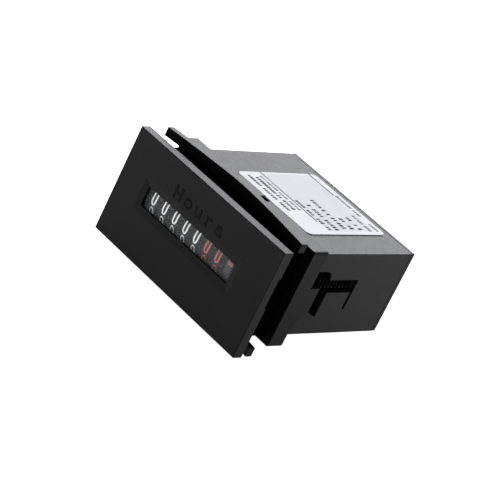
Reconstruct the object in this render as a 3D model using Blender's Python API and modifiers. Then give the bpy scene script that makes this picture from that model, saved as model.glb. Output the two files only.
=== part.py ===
"""Panel hour counter: a moulded housing with a clamp frame, and the number-wheel movement inside it.

Units are metres, +Z is up and the front face looks along -Y.
Every size below is in the instrument's own frame: x to the right as seen from the front,
depth behind the front face, and height from the middle of the bezel.
"""

import math

import bmesh
import bpy
from mathutils import Matrix

MM = 0.001

# Bezel and housing
BEZEL_WIDTH = 53.0 * MM
BEZEL_HEIGHT = 28.0 * MM
BEZEL_THICKNESS = 2.9 * MM
BEZEL_CHAMFER = 0.2 * MM
HOUSING_WIDTH = 44.8 * MM
HOUSING_HEIGHT = 22.2 * MM
CASE_DEPTH = 53.0 * MM
WALL = 1.5 * MM
FRONT_WALL = 1.75 * MM
RIM_NOTCH_LENGTH = 7.7 * MM
RIM_NOTCH_DEPTH = 0.5 * MM
RIM_NOTCH_TOP = 7.0 * MM
FIT = 0.15 * MM
SEAT_GAP = 0.3 * MM
STEP = 0.1 * MM
MERGE_DISTANCE = 0.001 * MM
SMOOTH_ANGLE = 40.0

# Window and its pane
WINDOW_WIDTH = 32.3 * MM
WINDOW_HEIGHT = 5.2 * MM
WINDOW_X = -0.77 * MM
WINDOW_Z = 1.0 * MM
WINDOW_WALL = 1.15 * MM
WINDOW_SLOPE_WIDTH = 1.6 * MM
WINDOW_SLOPE_DEPTH = 0.35 * MM
PANE_MARGIN = 1.2 * MM
PANE_THICKNESS = 0.4 * MM

# Rack recess and spring tongue on each short side
NOTCH_PITCH = 1.3 * MM
RACK_NOTCHES = 17
RACK_FRONT = 13.4 * MM
RACK_BOTTOM = 1.2 * MM
RACK_TOP = 3.9 * MM
RECESS_DEPTH = 0.9 * MM
TOOTH_HEIGHT = 0.6 * MM
RACK_ROOT = 0.3 * MM
RECESS_END_GAP = 0.9 * MM
POCKET_FRONT = 17.5 * MM
POCKET_REAR = 26.0 * MM
POCKET_TOP = 6.2 * MM
POCKET_CORNER = 2.2 * MM
POCKET_POINTS = 4
TONGUE_FRONT = 27.2 * MM
TONGUE_REAR = 35.5 * MM
TONGUE_TIP = 0.4 * MM
FRONT_SLIT = 3.3 * MM
FRONT_SLIT_BOTTOM = -5.0 * MM
FRONT_SLIT_SLANT = 1.4 * MM
REAR_SLIT = 0.9 * MM
REAR_SLIT_BOTTOM = -4.4 * MM
HOOK_LENGTH = 2.0 * MM
HOOK_HEIGHT = 1.6 * MM
HOOK_REACH = 1.15 * MM

# Latch slot through the top and bottom walls, in front of the label
LATCH_SLOT_WIDTH = 12.8 * MM
LATCH_SLOT_LENGTH = 3.0 * MM
LATCH_SLOT_GAP = 0.25 * MM

# Clamp frame
COLLAR_FRONT = 12.85 * MM
COLLAR_DEPTH = 4.85 * MM
COLLAR_SIDE_WALL = 1.95 * MM
COLLAR_LONG_WALL = 1.45 * MM
COLLAR_CORNER = 0.5 * MM
SIDE_CLEARANCE = 0.2 * MM
LABEL_CLEARANCE = 0.35 * MM
COLLAR_NOTCH_WIDTH = 6.8 * MM
COLLAR_NOTCH_DEPTH = 1.55 * MM
ARM_LENGTH = 49.4 * MM
ARM_THICKNESS = 2.0 * MM
ARM_HEIGHT = 2.3 * MM
ARM_BOW = 3.1 * MM
ARM_BOW_POWER = 1.4
ARM_ROOT_GAP = 3.1 * MM
ARM_ROOT_WIDTH = 9.0 * MM
ARM_ROOT_OVERLAP = 0.7 * MM
ARM_POINTS = 16
TAB_TOP = 3.1 * MM
TAB_BOTTOM = -4.6 * MM
TAB_FOOT = -9.6 * MM
TAB_REACH = 3.2 * MM
TAB_POINTS = 5
PAWL_TEETH = 2
PAWL_BOTTOM = 1.5 * MM
PAWL_TOP = 2.95 * MM
PAWL_CLEARANCE = 0.15 * MM

# Rating label
LABEL_WIDTH = 26.9 * MM
LABEL_LENGTH = 28.25 * MM
LABEL_FRONT = 21.5 * MM
LABEL_X = 1.0 * MM
LABEL_CORNER = 1.5 * MM
LABEL_THICKNESS = 0.12 * MM
LABEL_GAP = 0.06 * MM

# Rear cover and terminals
COVER_THICKNESS = 1.4 * MM
COVER_CHAMFER = 0.35 * MM
SKIRT_LENGTH = 3.0 * MM
SKIRT_WALL = 1.2 * MM
TAB_WIDTH = 6.3 * MM
TAB_THICKNESS = 0.8 * MM
TAB_LENGTH = 7.5 * MM
TAB_TIP = 1.0 * MM
TAB_HOLE = 0.85 * MM
TAB_HOLE_INSET = 3.8 * MM
TAB_SPACING = 16.0 * MM
TAB_SHOULDER = 0.6 * MM
TAB_FOOT_WIDTH = 2.4 * MM
TAB_FOOT_LENGTH = 1.0 * MM
SLOT_BOSS_WALL = 1.1 * MM
SLOT_BOSS_HEIGHT = 1.2 * MM

# Number wheels
WHEEL_COUNT = 7
WHEEL_PITCH = 3.98 * MM
WHEEL_FIRST_X = -14.95 * MM
WHEEL_RADIUS = 7.5 * MM
WHEEL_WIDTH = 3.68 * MM
WHEEL_FRONT = 2.0 * MM
WHEEL_SEGMENTS = 30
LOCK_WIDTH = 0.7 * MM
LOCK_RADIUS = 5.4 * MM
TRANSFER_TOOTH = 0.6 * MM
RING_WIDTH = 0.95 * MM
SHAFT_RADIUS = 0.75 * MM
SHAFT_SEGMENTS = 16
SHAFT_CLEARANCE = 0.09 * MM
BAND_CHAMFER = 0.12 * MM

# Transfer gearing: a 20-tooth ring on each wheel and 8-tooth pinions
RING_TEETH = 20
PINION_TEETH = 8
RING_MODULE = 0.66 * MM
RING_BACKLASH = 0.1 * MM
RING_TOOTH = (0.55 * MM, 0.75 * MM, 0.35 * MM, 1.1 * MM)
PINION_TOOTH = (0.5 * MM, 0.72 * MM, 0.35 * MM, 0.9 * MM)
PINION_SHAFT_RADIUS = 0.6 * MM
FLANK_STEP = 0.04 * MM
SIDE_PLAY = 0.15 * MM

# Drive train from the motor to the indicator wheel
TRAIN_MODULE = 0.35 * MM
TRAIN_BACKLASH = 0.06 * MM
TRAIN_TOOTH = (0.28 * MM, 0.42 * MM, 0.14 * MM, 0.6 * MM)
TRAIN_PINION_TOOTH = (0.26 * MM, 0.42 * MM, 0.14 * MM, 0.55 * MM)
DRIVE_TEETH = 40
REDUCTION_TEETH = 36
TRAIN_PINION_TEETH = 10
GEAR_THICKNESS = 1.0 * MM
REDUCTION_PIN_RADIUS = 0.4 * MM
BORE_SEGMENTS = 12

# Movement frame
PLATE_THICKNESS = 1.1 * MM
FLOOR_THICKNESS = 1.0 * MM
FRAME_FRONT = 4.0 * MM
LEFT_PLATE_REAR = 27.7 * MM
RIGHT_PLATE_REAR = 40.0 * MM
CROSS_WALL_FRONT = 23.2 * MM
MOTOR_WALL_X = 5.2 * MM
MOTOR_WALL_FRONT = 28.0 * MM
MOTOR_WALL_REAR = 39.4 * MM
MOTOR_WALL_TOP = 7.5 * MM
LUG_LENGTH = 2.2 * MM
LUG_REACH = 1.1 * MM

# Stepping motor
ROTOR_HEIGHT = 0.4 * MM
MAGNET_RADIUS = 3.0 * MM
MAGNET_SEGMENTS = 24
MAGNET_LENGTH = 3.2 * MM
MAGNET_GAP = 0.5 * MM
ARBOR_RADIUS = 0.4 * MM
STATOR_THICKNESS = 1.2 * MM
STATOR_FRONT = 31.4 * MM
STATOR_REAR = 45.4 * MM
STATOR_HALF_HEIGHT = 7.6 * MM
COIL_BAY_FRONT = 39.8 * MM
COIL_BAY_HALF_HEIGHT = 5.1 * MM
CORE_THICKNESS = 1.0 * MM
CORE_WIDTH = 3.0 * MM
CORE_HALF_LENGTH = 7.4 * MM
BOBBIN_WALL = 0.5 * MM
BOBBIN_FLANGE = 0.7 * MM
BOBBIN_HALF_LENGTH = 4.8 * MM
BOBBIN_HALF_WIDTH = 2.9 * MM
WINDING_INSET = 0.4 * MM

# Circuit board and its components
BOARD_GAP = 0.5 * MM
BOARD_THICKNESS = 1.0 * MM
BOARD_MARGIN = 0.6 * MM
CAPACITOR_RADIUS = 4.0 * MM
CAPACITOR_LENGTH = 11.0 * MM
CAPACITOR_PLACE = (-13.0 * MM, 3.2 * MM)
CAPACITOR_GROOVE = 0.35 * MM
CAPACITOR_GROOVE_PLACE = 1.4 * MM
CAN_SEGMENTS = 20
FILM_SIZE = (13.0 * MM, 9.0 * MM, 5.0 * MM)
FILM_PLACE = (-5.0 * MM, -5.2 * MM)
FILM_BEVEL = 0.4 * MM
CRYSTAL_RADIUS = 1.5 * MM
CRYSTAL_LENGTH = 8.0 * MM
CRYSTAL_SHOULDER = 0.4 * MM
CRYSTAL_PLACE = (-4.5 * MM, 4.0 * MM)
CHIP_SIZE = (5.0 * MM, 1.4 * MM, 4.0 * MM)
CHIP_PLACE = (1.0 * MM, 3.5 * MM)
CHIP_LEGS = 4
CHIP_LEG_PITCH = 1.27 * MM
CHIP_LEG_SIZE = (0.42 * MM, 0.5 * MM, 0.9 * MM)
PART_GAP = 0.15 * MM

# Values that follow from the ones above
HALF_WIDTH = HOUSING_WIDTH / 2
HALF_HEIGHT = HOUSING_HEIGHT / 2
INNER_HALF_WIDTH = HALF_WIDTH - WALL
INNER_HALF_HEIGHT = HALF_HEIGHT - WALL
HOUSING_REAR = CASE_DEPTH - COVER_THICKNESS - FIT
TOTAL_DEPTH = CASE_DEPTH + TAB_LENGTH
BOARD_FRONT = HOUSING_REAR + FIT - SKIRT_LENGTH - BOARD_GAP - BOARD_THICKNESS
FLOOR_REAR = BOARD_FRONT - BOARD_GAP
TOOTH_LAND = NOTCH_PITCH / 3
LATCH_SLOT_REAR = LABEL_FRONT - LATCH_SLOT_GAP
COLLAR_HALF_WIDTH = HALF_WIDTH + SIDE_CLEARANCE + COLLAR_SIDE_WALL
COLLAR_HALF_HEIGHT = HALF_HEIGHT + LABEL_CLEARANCE + COLLAR_LONG_WALL
COLLAR_REAR = COLLAR_FRONT + COLLAR_DEPTH
ARM_TOP = COLLAR_HALF_HEIGHT + ARM_HEIGHT
ARM_REAR = COLLAR_FRONT - ARM_ROOT_GAP + ARM_THICKNESS
RECESS_FLOOR = HALF_WIDTH - RECESS_DEPTH
RACK_REAR = RACK_FRONT + RACK_NOTCHES * NOTCH_PITCH
RECESS_REAR = TONGUE_REAR + RECESS_END_GAP
WHEEL_Y = WHEEL_FRONT + WHEEL_RADIUS
WHEEL_Z = WINDOW_Z
INDICATOR_X = WHEEL_FIRST_X + WHEEL_COUNT * WHEEL_PITCH
PINION_Y = WHEEL_Y + (RING_TEETH + PINION_TEETH) * RING_MODULE / 2 + RING_BACKLASH
RING_START = WHEEL_WIDTH / 2 - RING_WIDTH
BAND_START = LOCK_WIDTH - WHEEL_WIDTH / 2
DRIVE_GEAR_X = INDICATOR_X + WHEEL_WIDTH / 2 + SEAT_GAP
SECOND_GEAR_X = DRIVE_GEAR_X + GEAR_THICKNESS + SEAT_GAP
RIGHT_PLATE_X = SECOND_GEAR_X + GEAR_THICKNESS + SEAT_GAP
LEFT_PLATE_X = WHEEL_FIRST_X - WHEEL_WIDTH / 2 - SEAT_GAP - PLATE_THICKNESS
REDUCTION_Y = PINION_Y + (DRIVE_TEETH + TRAIN_PINION_TEETH) * TRAIN_MODULE / 2 + TRAIN_BACKLASH
ROTOR_DISTANCE = (REDUCTION_TEETH + TRAIN_PINION_TEETH) * TRAIN_MODULE / 2 + TRAIN_BACKLASH
REDUCTION_Z = WHEEL_Z
ROTOR_DROP = REDUCTION_Z - ROTOR_HEIGHT
ROTOR_Y = REDUCTION_Y + math.sqrt(ROTOR_DISTANCE ** 2 - ROTOR_DROP ** 2)
STATOR_X = MOTOR_WALL_X + PLATE_THICKNESS + SEAT_GAP
CORE_X = STATOR_X + STATOR_THICKNESS + FIT
CORE_Y = (COIL_BAY_FRONT + STATOR_REAR) / 2 + FIT
FRAME_HALF_HEIGHT = INNER_HALF_HEIGHT - SEAT_GAP

instrument = None
part_collection = None
cutter_collection = None


# Scene and object helpers
def start_scene():
    """Empties the scene and makes the two collections and the empty that carries the instrument."""
    global instrument, part_collection, cutter_collection
    for existing in list(bpy.data.objects):
        bpy.data.objects.remove(existing, do_unlink=True)
    part_collection = bpy.data.collections.new("panel_counter")
    cutter_collection = bpy.data.collections.new("cutters")
    for collection in (part_collection, cutter_collection):
        bpy.context.scene.collection.children.link(collection)
    instrument = bpy.data.objects.new("instrument", None)
    instrument.location = (0.0, -TOTAL_DEPTH / 2, ARM_TOP)
    part_collection.objects.link(instrument)


def material(name, colour, roughness, metallic=0.0):
    """A plain Principled material."""
    made = bpy.data.materials.new(name)
    made.use_nodes = True
    shader = made.node_tree.nodes["Principled BSDF"]
    shader.inputs["Base Color"].default_value = (*colour, 1.0)
    shader.inputs["Roughness"].default_value = roughness
    shader.inputs["Metallic"].default_value = metallic
    return made


def add_object(name, mesh, place=(0.0, 0.0, 0.0)):
    """Links a mesh to the part as an object carried by the instrument's empty."""
    made = bpy.data.objects.new(name, mesh)
    made.parent = instrument
    made.location = place
    part_collection.objects.link(made)
    return made


def from_bmesh(name, work, place=(0.0, 0.0, 0.0)):
    bmesh.ops.recalc_face_normals(work, faces=work.faces)
    mesh = bpy.data.meshes.new(name)
    work.to_mesh(mesh)
    work.free()
    return add_object(name, mesh, place)


def block_bmesh(x_span, y_span, z_span):
    work = bmesh.new()
    bmesh.ops.create_cube(work, size=1.0)
    spans = (x_span, y_span, z_span)
    size = Matrix.Diagonal([span[1] - span[0] for span in spans] + [1.0])
    middle = Matrix.Translation([(span[0] + span[1]) / 2 for span in spans])
    bmesh.ops.transform(work, matrix=middle @ size, verts=work.verts)
    return work


def block(name, x_span, y_span, z_span):
    """A plain block between the given limits."""
    return from_bmesh(name, block_bmesh(x_span, y_span, z_span))


def block_with_chamfered_rim(name, x_span, y_span, z_span, rim_y, chamfer):
    """A block whose four edges at depth rim_y are chamfered."""
    work = block_bmesh(x_span, y_span, z_span)
    rim = [edge for edge in work.edges if all(abs(v.co.y - rim_y) < chamfer / 2 for v in edge.verts)]
    bmesh.ops.bevel(work, geom=rim, offset=chamfer, segments=1, affect="EDGES", profile=0.5)
    return from_bmesh(name, work)


def bake(made):
    """Replaces an object's modifiers by the mesh that they give."""
    graph = bpy.context.evaluated_depsgraph_get()
    mesh = bpy.data.meshes.new_from_object(made.evaluated_get(graph))
    mesh.name = made.name
    made.modifiers.clear()
    made.data = mesh
    return made


def rod(name, x_span, radius, place=(0.0, 0.0, 0.0), segments=BORE_SEGMENTS):
    """A round rod along x, about the point that place gives."""
    work = bmesh.new()
    length = x_span[1] - x_span[0]
    bmesh.ops.create_cone(
        work, cap_ends=True, segments=segments, radius1=radius, radius2=radius, depth=length
    )
    middle = Matrix.Translation(((x_span[0] + x_span[1]) / 2, 0.0, 0.0))
    along_x = Matrix.Rotation(math.pi / 2, 4, "Y")
    bmesh.ops.transform(work, matrix=middle @ along_x, verts=work.verts)
    return from_bmesh(name, work, place)


PLANES = {
    "x": Matrix(((0, 0, 1, 0), (1, 0, 0, 0), (0, 1, 0, 0), (0, 0, 0, 1))),
    "y": Matrix(((1, 0, 0, 0), (0, 0, -1, 0), (0, 1, 0, 0), (0, 0, 0, 1))),
    "z": Matrix.Identity(4),
}


def plate(name, loops, axis, span, place=(0.0, 0.0, 0.0)):
    """A flat outline, with holes, as thick as span says along axis.

    The outline's two coordinates are (y, z), (x, z) or (x, y) for the axes x, y and z.
    The curve is drawn in millimetres, so that its fill keeps the smallest steps.
    """
    curve = bpy.data.curves.new(name, "CURVE")
    curve.dimensions = "2D"
    curve.fill_mode = "BOTH"
    curve.extrude = (span[1] - span[0]) / 2 / MM
    for loop in loops:
        spline = curve.splines.new("POLY")
        spline.points.add(len(loop) - 1)
        spline.use_cyclic_u = True
        for point, (u, v) in zip(spline.points, loop):
            point.co = (u / MM, v / MM, 0.0, 1.0)
    drawn = bpy.data.objects.new(name, curve)
    part_collection.objects.link(drawn)
    graph = bpy.context.evaluated_depsgraph_get()
    mesh = bpy.data.meshes.new_from_object(drawn.evaluated_get(graph))
    bpy.data.objects.remove(drawn)
    bpy.data.curves.remove(curve)
    work = bmesh.new()
    work.from_mesh(mesh)
    bpy.data.meshes.remove(mesh)
    bmesh.ops.remove_doubles(work, verts=work.verts, dist=MERGE_DISTANCE / MM)
    offset = {"x": (1, 0, 0), "y": (0, 1, 0), "z": (0, 0, 1)}[axis]
    middle = (span[0] + span[1]) / 2
    shift = Matrix.Translation([middle * part for part in offset])
    bmesh.ops.transform(work, matrix=shift @ PLANES[axis] @ Matrix.Scale(MM, 4), verts=work.verts)
    return from_bmesh(name, work, place)


def turned(name, profile, axis, segments, place=(0.0, 0.0, 0.0)):
    """A solid turned about its axis from (radius, position) points: they run down its outer side."""
    mesh = bpy.data.meshes.new(name)
    points = [(radius, 0.0, position) for radius, position in profile]
    mesh.from_pydata(points, [(i, i + 1) for i in range(len(points) - 1)], [])
    made = add_object(name, mesh, place)
    screw = made.modifiers.new("turn", "SCREW")
    screw.steps = segments
    screw.render_steps = segments
    screw.use_merge_vertices = True
    screw.merge_threshold = MERGE_DISTANCE
    bake(made)
    turn = Matrix.Rotation(math.pi / 2, 4, "Y" if axis == "x" else "X")
    made.data.transform(turn)
    work = bmesh.new()
    work.from_mesh(made.data)
    bmesh.ops.recalc_face_normals(work, faces=work.faces)
    work.to_mesh(made.data)
    work.free()
    return made


def combine(target, others, operation):
    """Joins to the target, or cuts from it, each of the others, which move to the cutters."""
    for other in others:
        step = target.modifiers.new(other.name, "BOOLEAN")
        step.operation = operation
        step.object = other
        step.solver = "EXACT"
        part_collection.objects.unlink(other)
        cutter_collection.objects.link(other)
        other.hide_render = True
        other.display_type = "WIRE"
    return target


def join(target, *others):
    return combine(target, others, "UNION")


def cut(target, *others):
    return combine(target, others, "DIFFERENCE")


def dress(made, finish, smooth=False):
    """Gives an object its material and, on round pieces, smooth shading."""
    made.data.materials.clear()
    made.data.materials.append(finish)
    if smooth:
        made.data.shade_smooth()
        made.data.set_sharp_from_angle(angle=math.radians(SMOOTH_ANGLE))
    return made


# Outlines
def rectangle(u_span, v_span):
    (left, right), (low, high) = u_span, v_span
    return [(left, low), (right, low), (right, high), (left, high)]


def arc(centre, radius, start, end, count):
    """Points along an arc, its two ends included. Angles are in degrees."""
    points = []
    for i in range(count + 1):
        angle = math.radians(start + (end - start) * i / max(count, 1))
        points.append((centre[0] + radius * math.cos(angle), centre[1] + radius * math.sin(angle)))
    return points


def circle(radius, centre=(0.0, 0.0), segments=BORE_SEGMENTS):
    return arc(centre, radius, 0.0, 360.0, segments)[:-1]


def rounded_rectangle(u_span, v_span, radius, count=3):
    loop = []
    corners = ((1, 0, -90.0), (1, 1, 0.0), (0, 1, 90.0), (0, 0, 180.0))
    for u_end, v_end, start in corners:
        u = u_span[u_end] - radius if u_end else u_span[0] + radius
        v = v_span[v_end] - radius if v_end else v_span[0] + radius
        loop += arc((u, v), radius, start, start + 90.0, count)
    return loop


def gear_loop(teeth, module, tooth, phase, every=1):
    """A gear's outline: tooth is (addendum, dedendum, tip width, root width), phase an angle in degrees.

    Only each tooth whose number divides by every is there.
    """
    addendum, dedendum, tip_width, root_width = tooth
    root = teeth * module / 2 - dedendum
    tip = teeth * module / 2 + addendum
    loop = []
    for number in range(teeth):
        middle = math.radians(phase) + 2 * math.pi * number / teeth
        corners = [(root, -root_width), (tip, -tip_width), (tip, tip_width), (root, root_width)]
        if number % every:
            corners = [(root, 0.0)]
        for radius, width in corners:
            angle = middle + width / 2 / radius
            loop.append((radius * math.cos(angle), radius * math.sin(angle)))
    return loop


def mirrored(loop, side):
    """The outline for the right side (1) or the left side (-1)."""
    return [(side * u, v) for u, v in loop]


def side_span(side, near, far):
    return tuple(sorted((side * near, side * far)))


# Housing
def rack_loop(side):
    """Saw teeth along the depth: the steep face looks forward, so the frame can't slip back."""
    tips = HALF_WIDTH - RECESS_DEPTH + TOOTH_HEIGHT
    loop = [(RECESS_FLOOR - RACK_ROOT, RACK_REAR), (RECESS_FLOOR - RACK_ROOT, RACK_FRONT)]
    for number in range(RACK_NOTCHES):
        start = RACK_FRONT + number * NOTCH_PITCH
        loop.append((RECESS_FLOOR, start + TOOTH_LAND))
        loop.append((tips, start + TOOTH_LAND))
        if number < RACK_NOTCHES - 1:
            loop.append((RECESS_FLOOR, start + NOTCH_PITCH))
    loop.append((RECESS_FLOOR, RACK_REAR))
    return mirrored(loop, side)


def pocket_loop():
    """The opening above the rack's front half, through which the tab is reached, in (depth, height)."""
    centre = (POCKET_REAR - POCKET_CORNER, POCKET_TOP - POCKET_CORNER)
    corner = arc(centre, POCKET_CORNER, 0.0, 90.0, POCKET_POINTS)
    low = RACK_TOP - STEP / 2
    return [(POCKET_FRONT, low), (POCKET_REAR, low)] + corner + [(POCKET_FRONT, POCKET_TOP)]


def slit_loop():
    """The slit that frees the spring tongue on three sides, in (depth, height)."""
    front = TONGUE_FRONT - FRONT_SLIT
    return [
        (front, RACK_BOTTOM),
        (front, FRONT_SLIT_BOTTOM),
        (TONGUE_FRONT, FRONT_SLIT_BOTTOM - FRONT_SLIT_SLANT),
        (TONGUE_FRONT, TONGUE_TIP),
        (TONGUE_REAR, TONGUE_TIP),
        (TONGUE_REAR, REAR_SLIT_BOTTOM),
        (TONGUE_REAR + REAR_SLIT, REAR_SLIT_BOTTOM),
        (TONGUE_REAR + REAR_SLIT, RACK_BOTTOM),
    ]


def make_housing():
    """One moulding: the bezel, the four walls, the side racks and the two spring tongues."""
    housing = block(
        "housing",
        (-HALF_WIDTH, HALF_WIDTH),
        (BEZEL_THICKNESS / 2, HOUSING_REAR),
        (-HALF_HEIGHT, HALF_HEIGHT),
    )
    bezel = block_with_chamfered_rim(
        "bezel",
        (-BEZEL_WIDTH / 2, BEZEL_WIDTH / 2),
        (0.0, BEZEL_THICKNESS),
        (-BEZEL_HEIGHT / 2, BEZEL_HEIGHT / 2),
        0.0,
        BEZEL_CHAMFER,
    )
    join(housing, bezel)
    cavity = block(
        "housing_cavity",
        (-INNER_HALF_WIDTH, INNER_HALF_WIDTH),
        (FRONT_WALL, HOUSING_REAR + WALL),
        (-INNER_HALF_HEIGHT, INNER_HALF_HEIGHT),
    )
    window = plate("window_cut", [window_loop(0.0)], "y", (-WALL, FRONT_WALL + WALL))
    ledge = plate("pane_ledge", [window_loop(PANE_MARGIN)], "y", (WINDOW_WALL, FRONT_WALL + WALL))
    cut(housing, cavity, window, ledge, make_window_slope())
    for side, label in ((-1, "left"), (1, "right")):
        recess = block(
            "recess_" + label,
            side_span(side, RECESS_FLOOR, HALF_WIDTH + WALL),
            (RACK_FRONT - TOOTH_LAND, RECESS_REAR),
            (RACK_BOTTOM, RACK_TOP),
        )
        through = side_span(side, INNER_HALF_WIDTH - WALL, HALF_WIDTH + WALL)
        pocket = plate("pocket_" + label, [pocket_loop()], "x", through)
        slit = plate("slit_" + label, [slit_loop()], "x", through)
        rim = block(
            "rim_notch_" + label,
            side_span(side, HALF_WIDTH + WALL, BEZEL_WIDTH),
            (BEZEL_THICKNESS - RIM_NOTCH_DEPTH, BEZEL_THICKNESS + WALL),
            (RIM_NOTCH_TOP - RIM_NOTCH_LENGTH, RIM_NOTCH_TOP),
        )
        cut(housing, recess, pocket, slit, rim)
        rack = plate("rack_" + label, [rack_loop(side)], "z", (RACK_BOTTOM + STEP, RACK_TOP - STEP))
        hook = block(
            "hook_" + label,
            side_span(side, INNER_HALF_WIDTH - HOOK_REACH, INNER_HALF_WIDTH + RACK_ROOT),
            (LEFT_PLATE_REAR + SEAT_GAP, LEFT_PLATE_REAR + SEAT_GAP + HOOK_LENGTH),
            (TONGUE_TIP - HOOK_HEIGHT, TONGUE_TIP),
        )
        join(housing, rack, hook)
    for side, label in ((-1, "bottom"), (1, "top")):
        slot = block(
            "latch_slot_" + label,
            (-LATCH_SLOT_WIDTH / 2, LATCH_SLOT_WIDTH / 2),
            (LATCH_SLOT_REAR - LATCH_SLOT_LENGTH, LATCH_SLOT_REAR),
            side_span(side, INNER_HALF_HEIGHT - WALL, HALF_HEIGHT + WALL),
        )
        cut(housing, slot)
    return housing


def window_loop(margin):
    """The window's outline, widened on every side by margin."""
    half_width = WINDOW_WIDTH / 2 + margin
    half_height = WINDOW_HEIGHT / 2 + margin
    return rectangle(
        (WINDOW_X - half_width, WINDOW_X + half_width),
        (WINDOW_Z - half_height, WINDOW_Z + half_height),
    )


def make_window_slope():
    """The cutter for the shallow slope that runs from the front face down to the window."""
    work = bmesh.new()
    for margin, y in ((2 * WINDOW_SLOPE_WIDTH, -WINDOW_SLOPE_DEPTH), (0.0, WINDOW_SLOPE_DEPTH)):
        for x, z in window_loop(margin):
            work.verts.new((x, y, z))
    bmesh.ops.convex_hull(work, input=work.verts)
    return from_bmesh("window_slope", work)


def make_pane():
    start = WINDOW_WALL + FIT
    outline = window_loop(PANE_MARGIN - FIT)
    return plate("window_pane", [outline], "y", (start, start + PANE_THICKNESS))


# Clamp frame
def arm_loop():
    """A bowed spring arm in (x, depth): its ends stand forward to press on the panel."""
    front = []
    for number in range(ARM_POINTS + 1):
        along = 2.0 * number / ARM_POINTS - 1.0
        bow = ARM_BOW * abs(along) ** ARM_BOW_POWER
        front.append((along * ARM_LENGTH / 2, COLLAR_FRONT - ARM_ROOT_GAP - bow))
    rear = [(x, y + ARM_THICKNESS) for x, y in reversed(front)]
    return front + rear


def tab_loop():
    """The side tab that carries the pawl, in (depth, height): its foot runs out in a curve."""
    start = COLLAR_REAR - COLLAR_DEPTH / 2
    centre = (COLLAR_REAR + TAB_REACH, TAB_FOOT)
    lower = arc(centre, TAB_REACH, 180.0, 110.0, TAB_POINTS)
    rise = (TAB_BOTTOM - TAB_FOOT) / TAB_REACH
    curve = [(y, TAB_FOOT + (z - TAB_FOOT) * rise) for y, z in lower]
    end = COLLAR_REAR + TAB_REACH
    upper = [(end, TAB_BOTTOM + TAB_REACH / 2), (end, TAB_TOP), (start, TAB_TOP)]
    return [(start, TAB_FOOT)] + curve + upper


def pawl_loop(side):
    """Saw teeth on the tab's inner face that stand in the rack's notches."""
    face = HALF_WIDTH + SIDE_CLEARANCE
    tip = RECESS_FLOOR + PAWL_CLEARANCE
    notch = round((COLLAR_REAR - RACK_FRONT) / NOTCH_PITCH)
    start = RACK_FRONT + notch * NOTCH_PITCH
    loop = [(face + COLLAR_SIDE_WALL / 2, start)]
    for number in range(PAWL_TEETH):
        low = start + TOOTH_LAND + (number - 1) * NOTCH_PITCH
        loop.append((face, low))
        loop.append((tip, low + NOTCH_PITCH - 2 * PAWL_CLEARANCE))
        loop.append((face, low + NOTCH_PITCH - PAWL_CLEARANCE))
    loop.append((face + COLLAR_SIDE_WALL / 2, low + NOTCH_PITCH))
    return mirrored(loop, side)


def make_clamp_frame():
    """One moulding: a collar round the housing, bowed arms above and below, and a pawl tab each side."""
    across = (-COLLAR_HALF_WIDTH, COLLAR_HALF_WIDTH)
    outer = rounded_rectangle(across, (-COLLAR_HALF_HEIGHT, COLLAR_HALF_HEIGHT), COLLAR_CORNER)
    inner_half_width = HALF_WIDTH + SIDE_CLEARANCE
    inner_half_height = HALF_HEIGHT + LABEL_CLEARANCE
    inner = rectangle((-inner_half_width, inner_half_width), (-inner_half_height, inner_half_height))
    frame = plate("clamp_frame", [outer, inner], "y", (COLLAR_FRONT, COLLAR_REAR))
    for side, label in ((-1, "bottom"), (1, "top")):
        arm = plate("arm_" + label, [arm_loop()], "z", side_span(side, COLLAR_HALF_HEIGHT, ARM_TOP))
        root = block(
            "arm_root_" + label,
            (-ARM_ROOT_WIDTH / 2, ARM_ROOT_WIDTH / 2),
            (ARM_REAR - ARM_ROOT_OVERLAP, COLLAR_FRONT + ARM_ROOT_OVERLAP),
            side_span(side, inner_half_height + STEP, ARM_TOP - STEP),
        )
        notch = block(
            "collar_notch_" + label,
            (-COLLAR_NOTCH_WIDTH / 2, COLLAR_NOTCH_WIDTH / 2),
            (COLLAR_REAR - COLLAR_NOTCH_DEPTH, COLLAR_REAR + COLLAR_NOTCH_DEPTH),
            side_span(side, HALF_HEIGHT, ARM_TOP),
        )
        join(frame, root, arm)
        cut(frame, notch)
    for side, label in ((-1, "left"), (1, "right")):
        wall = side_span(side, inner_half_width, COLLAR_HALF_WIDTH)
        tab = plate("tab_" + label, [tab_loop()], "x", wall)
        pawl = plate("pawl_" + label, [pawl_loop(side)], "z", (PAWL_BOTTOM, PAWL_TOP))
        join(frame, tab, pawl)
    return frame


def make_label():
    x_span = (LABEL_X - LABEL_WIDTH / 2, LABEL_X + LABEL_WIDTH / 2)
    outline = rounded_rectangle(x_span, (LABEL_FRONT, LABEL_FRONT + LABEL_LENGTH), LABEL_CORNER)
    start = HALF_HEIGHT + LABEL_GAP
    return plate("rating_label", [outline], "z", (start, start + LABEL_THICKNESS))


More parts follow.
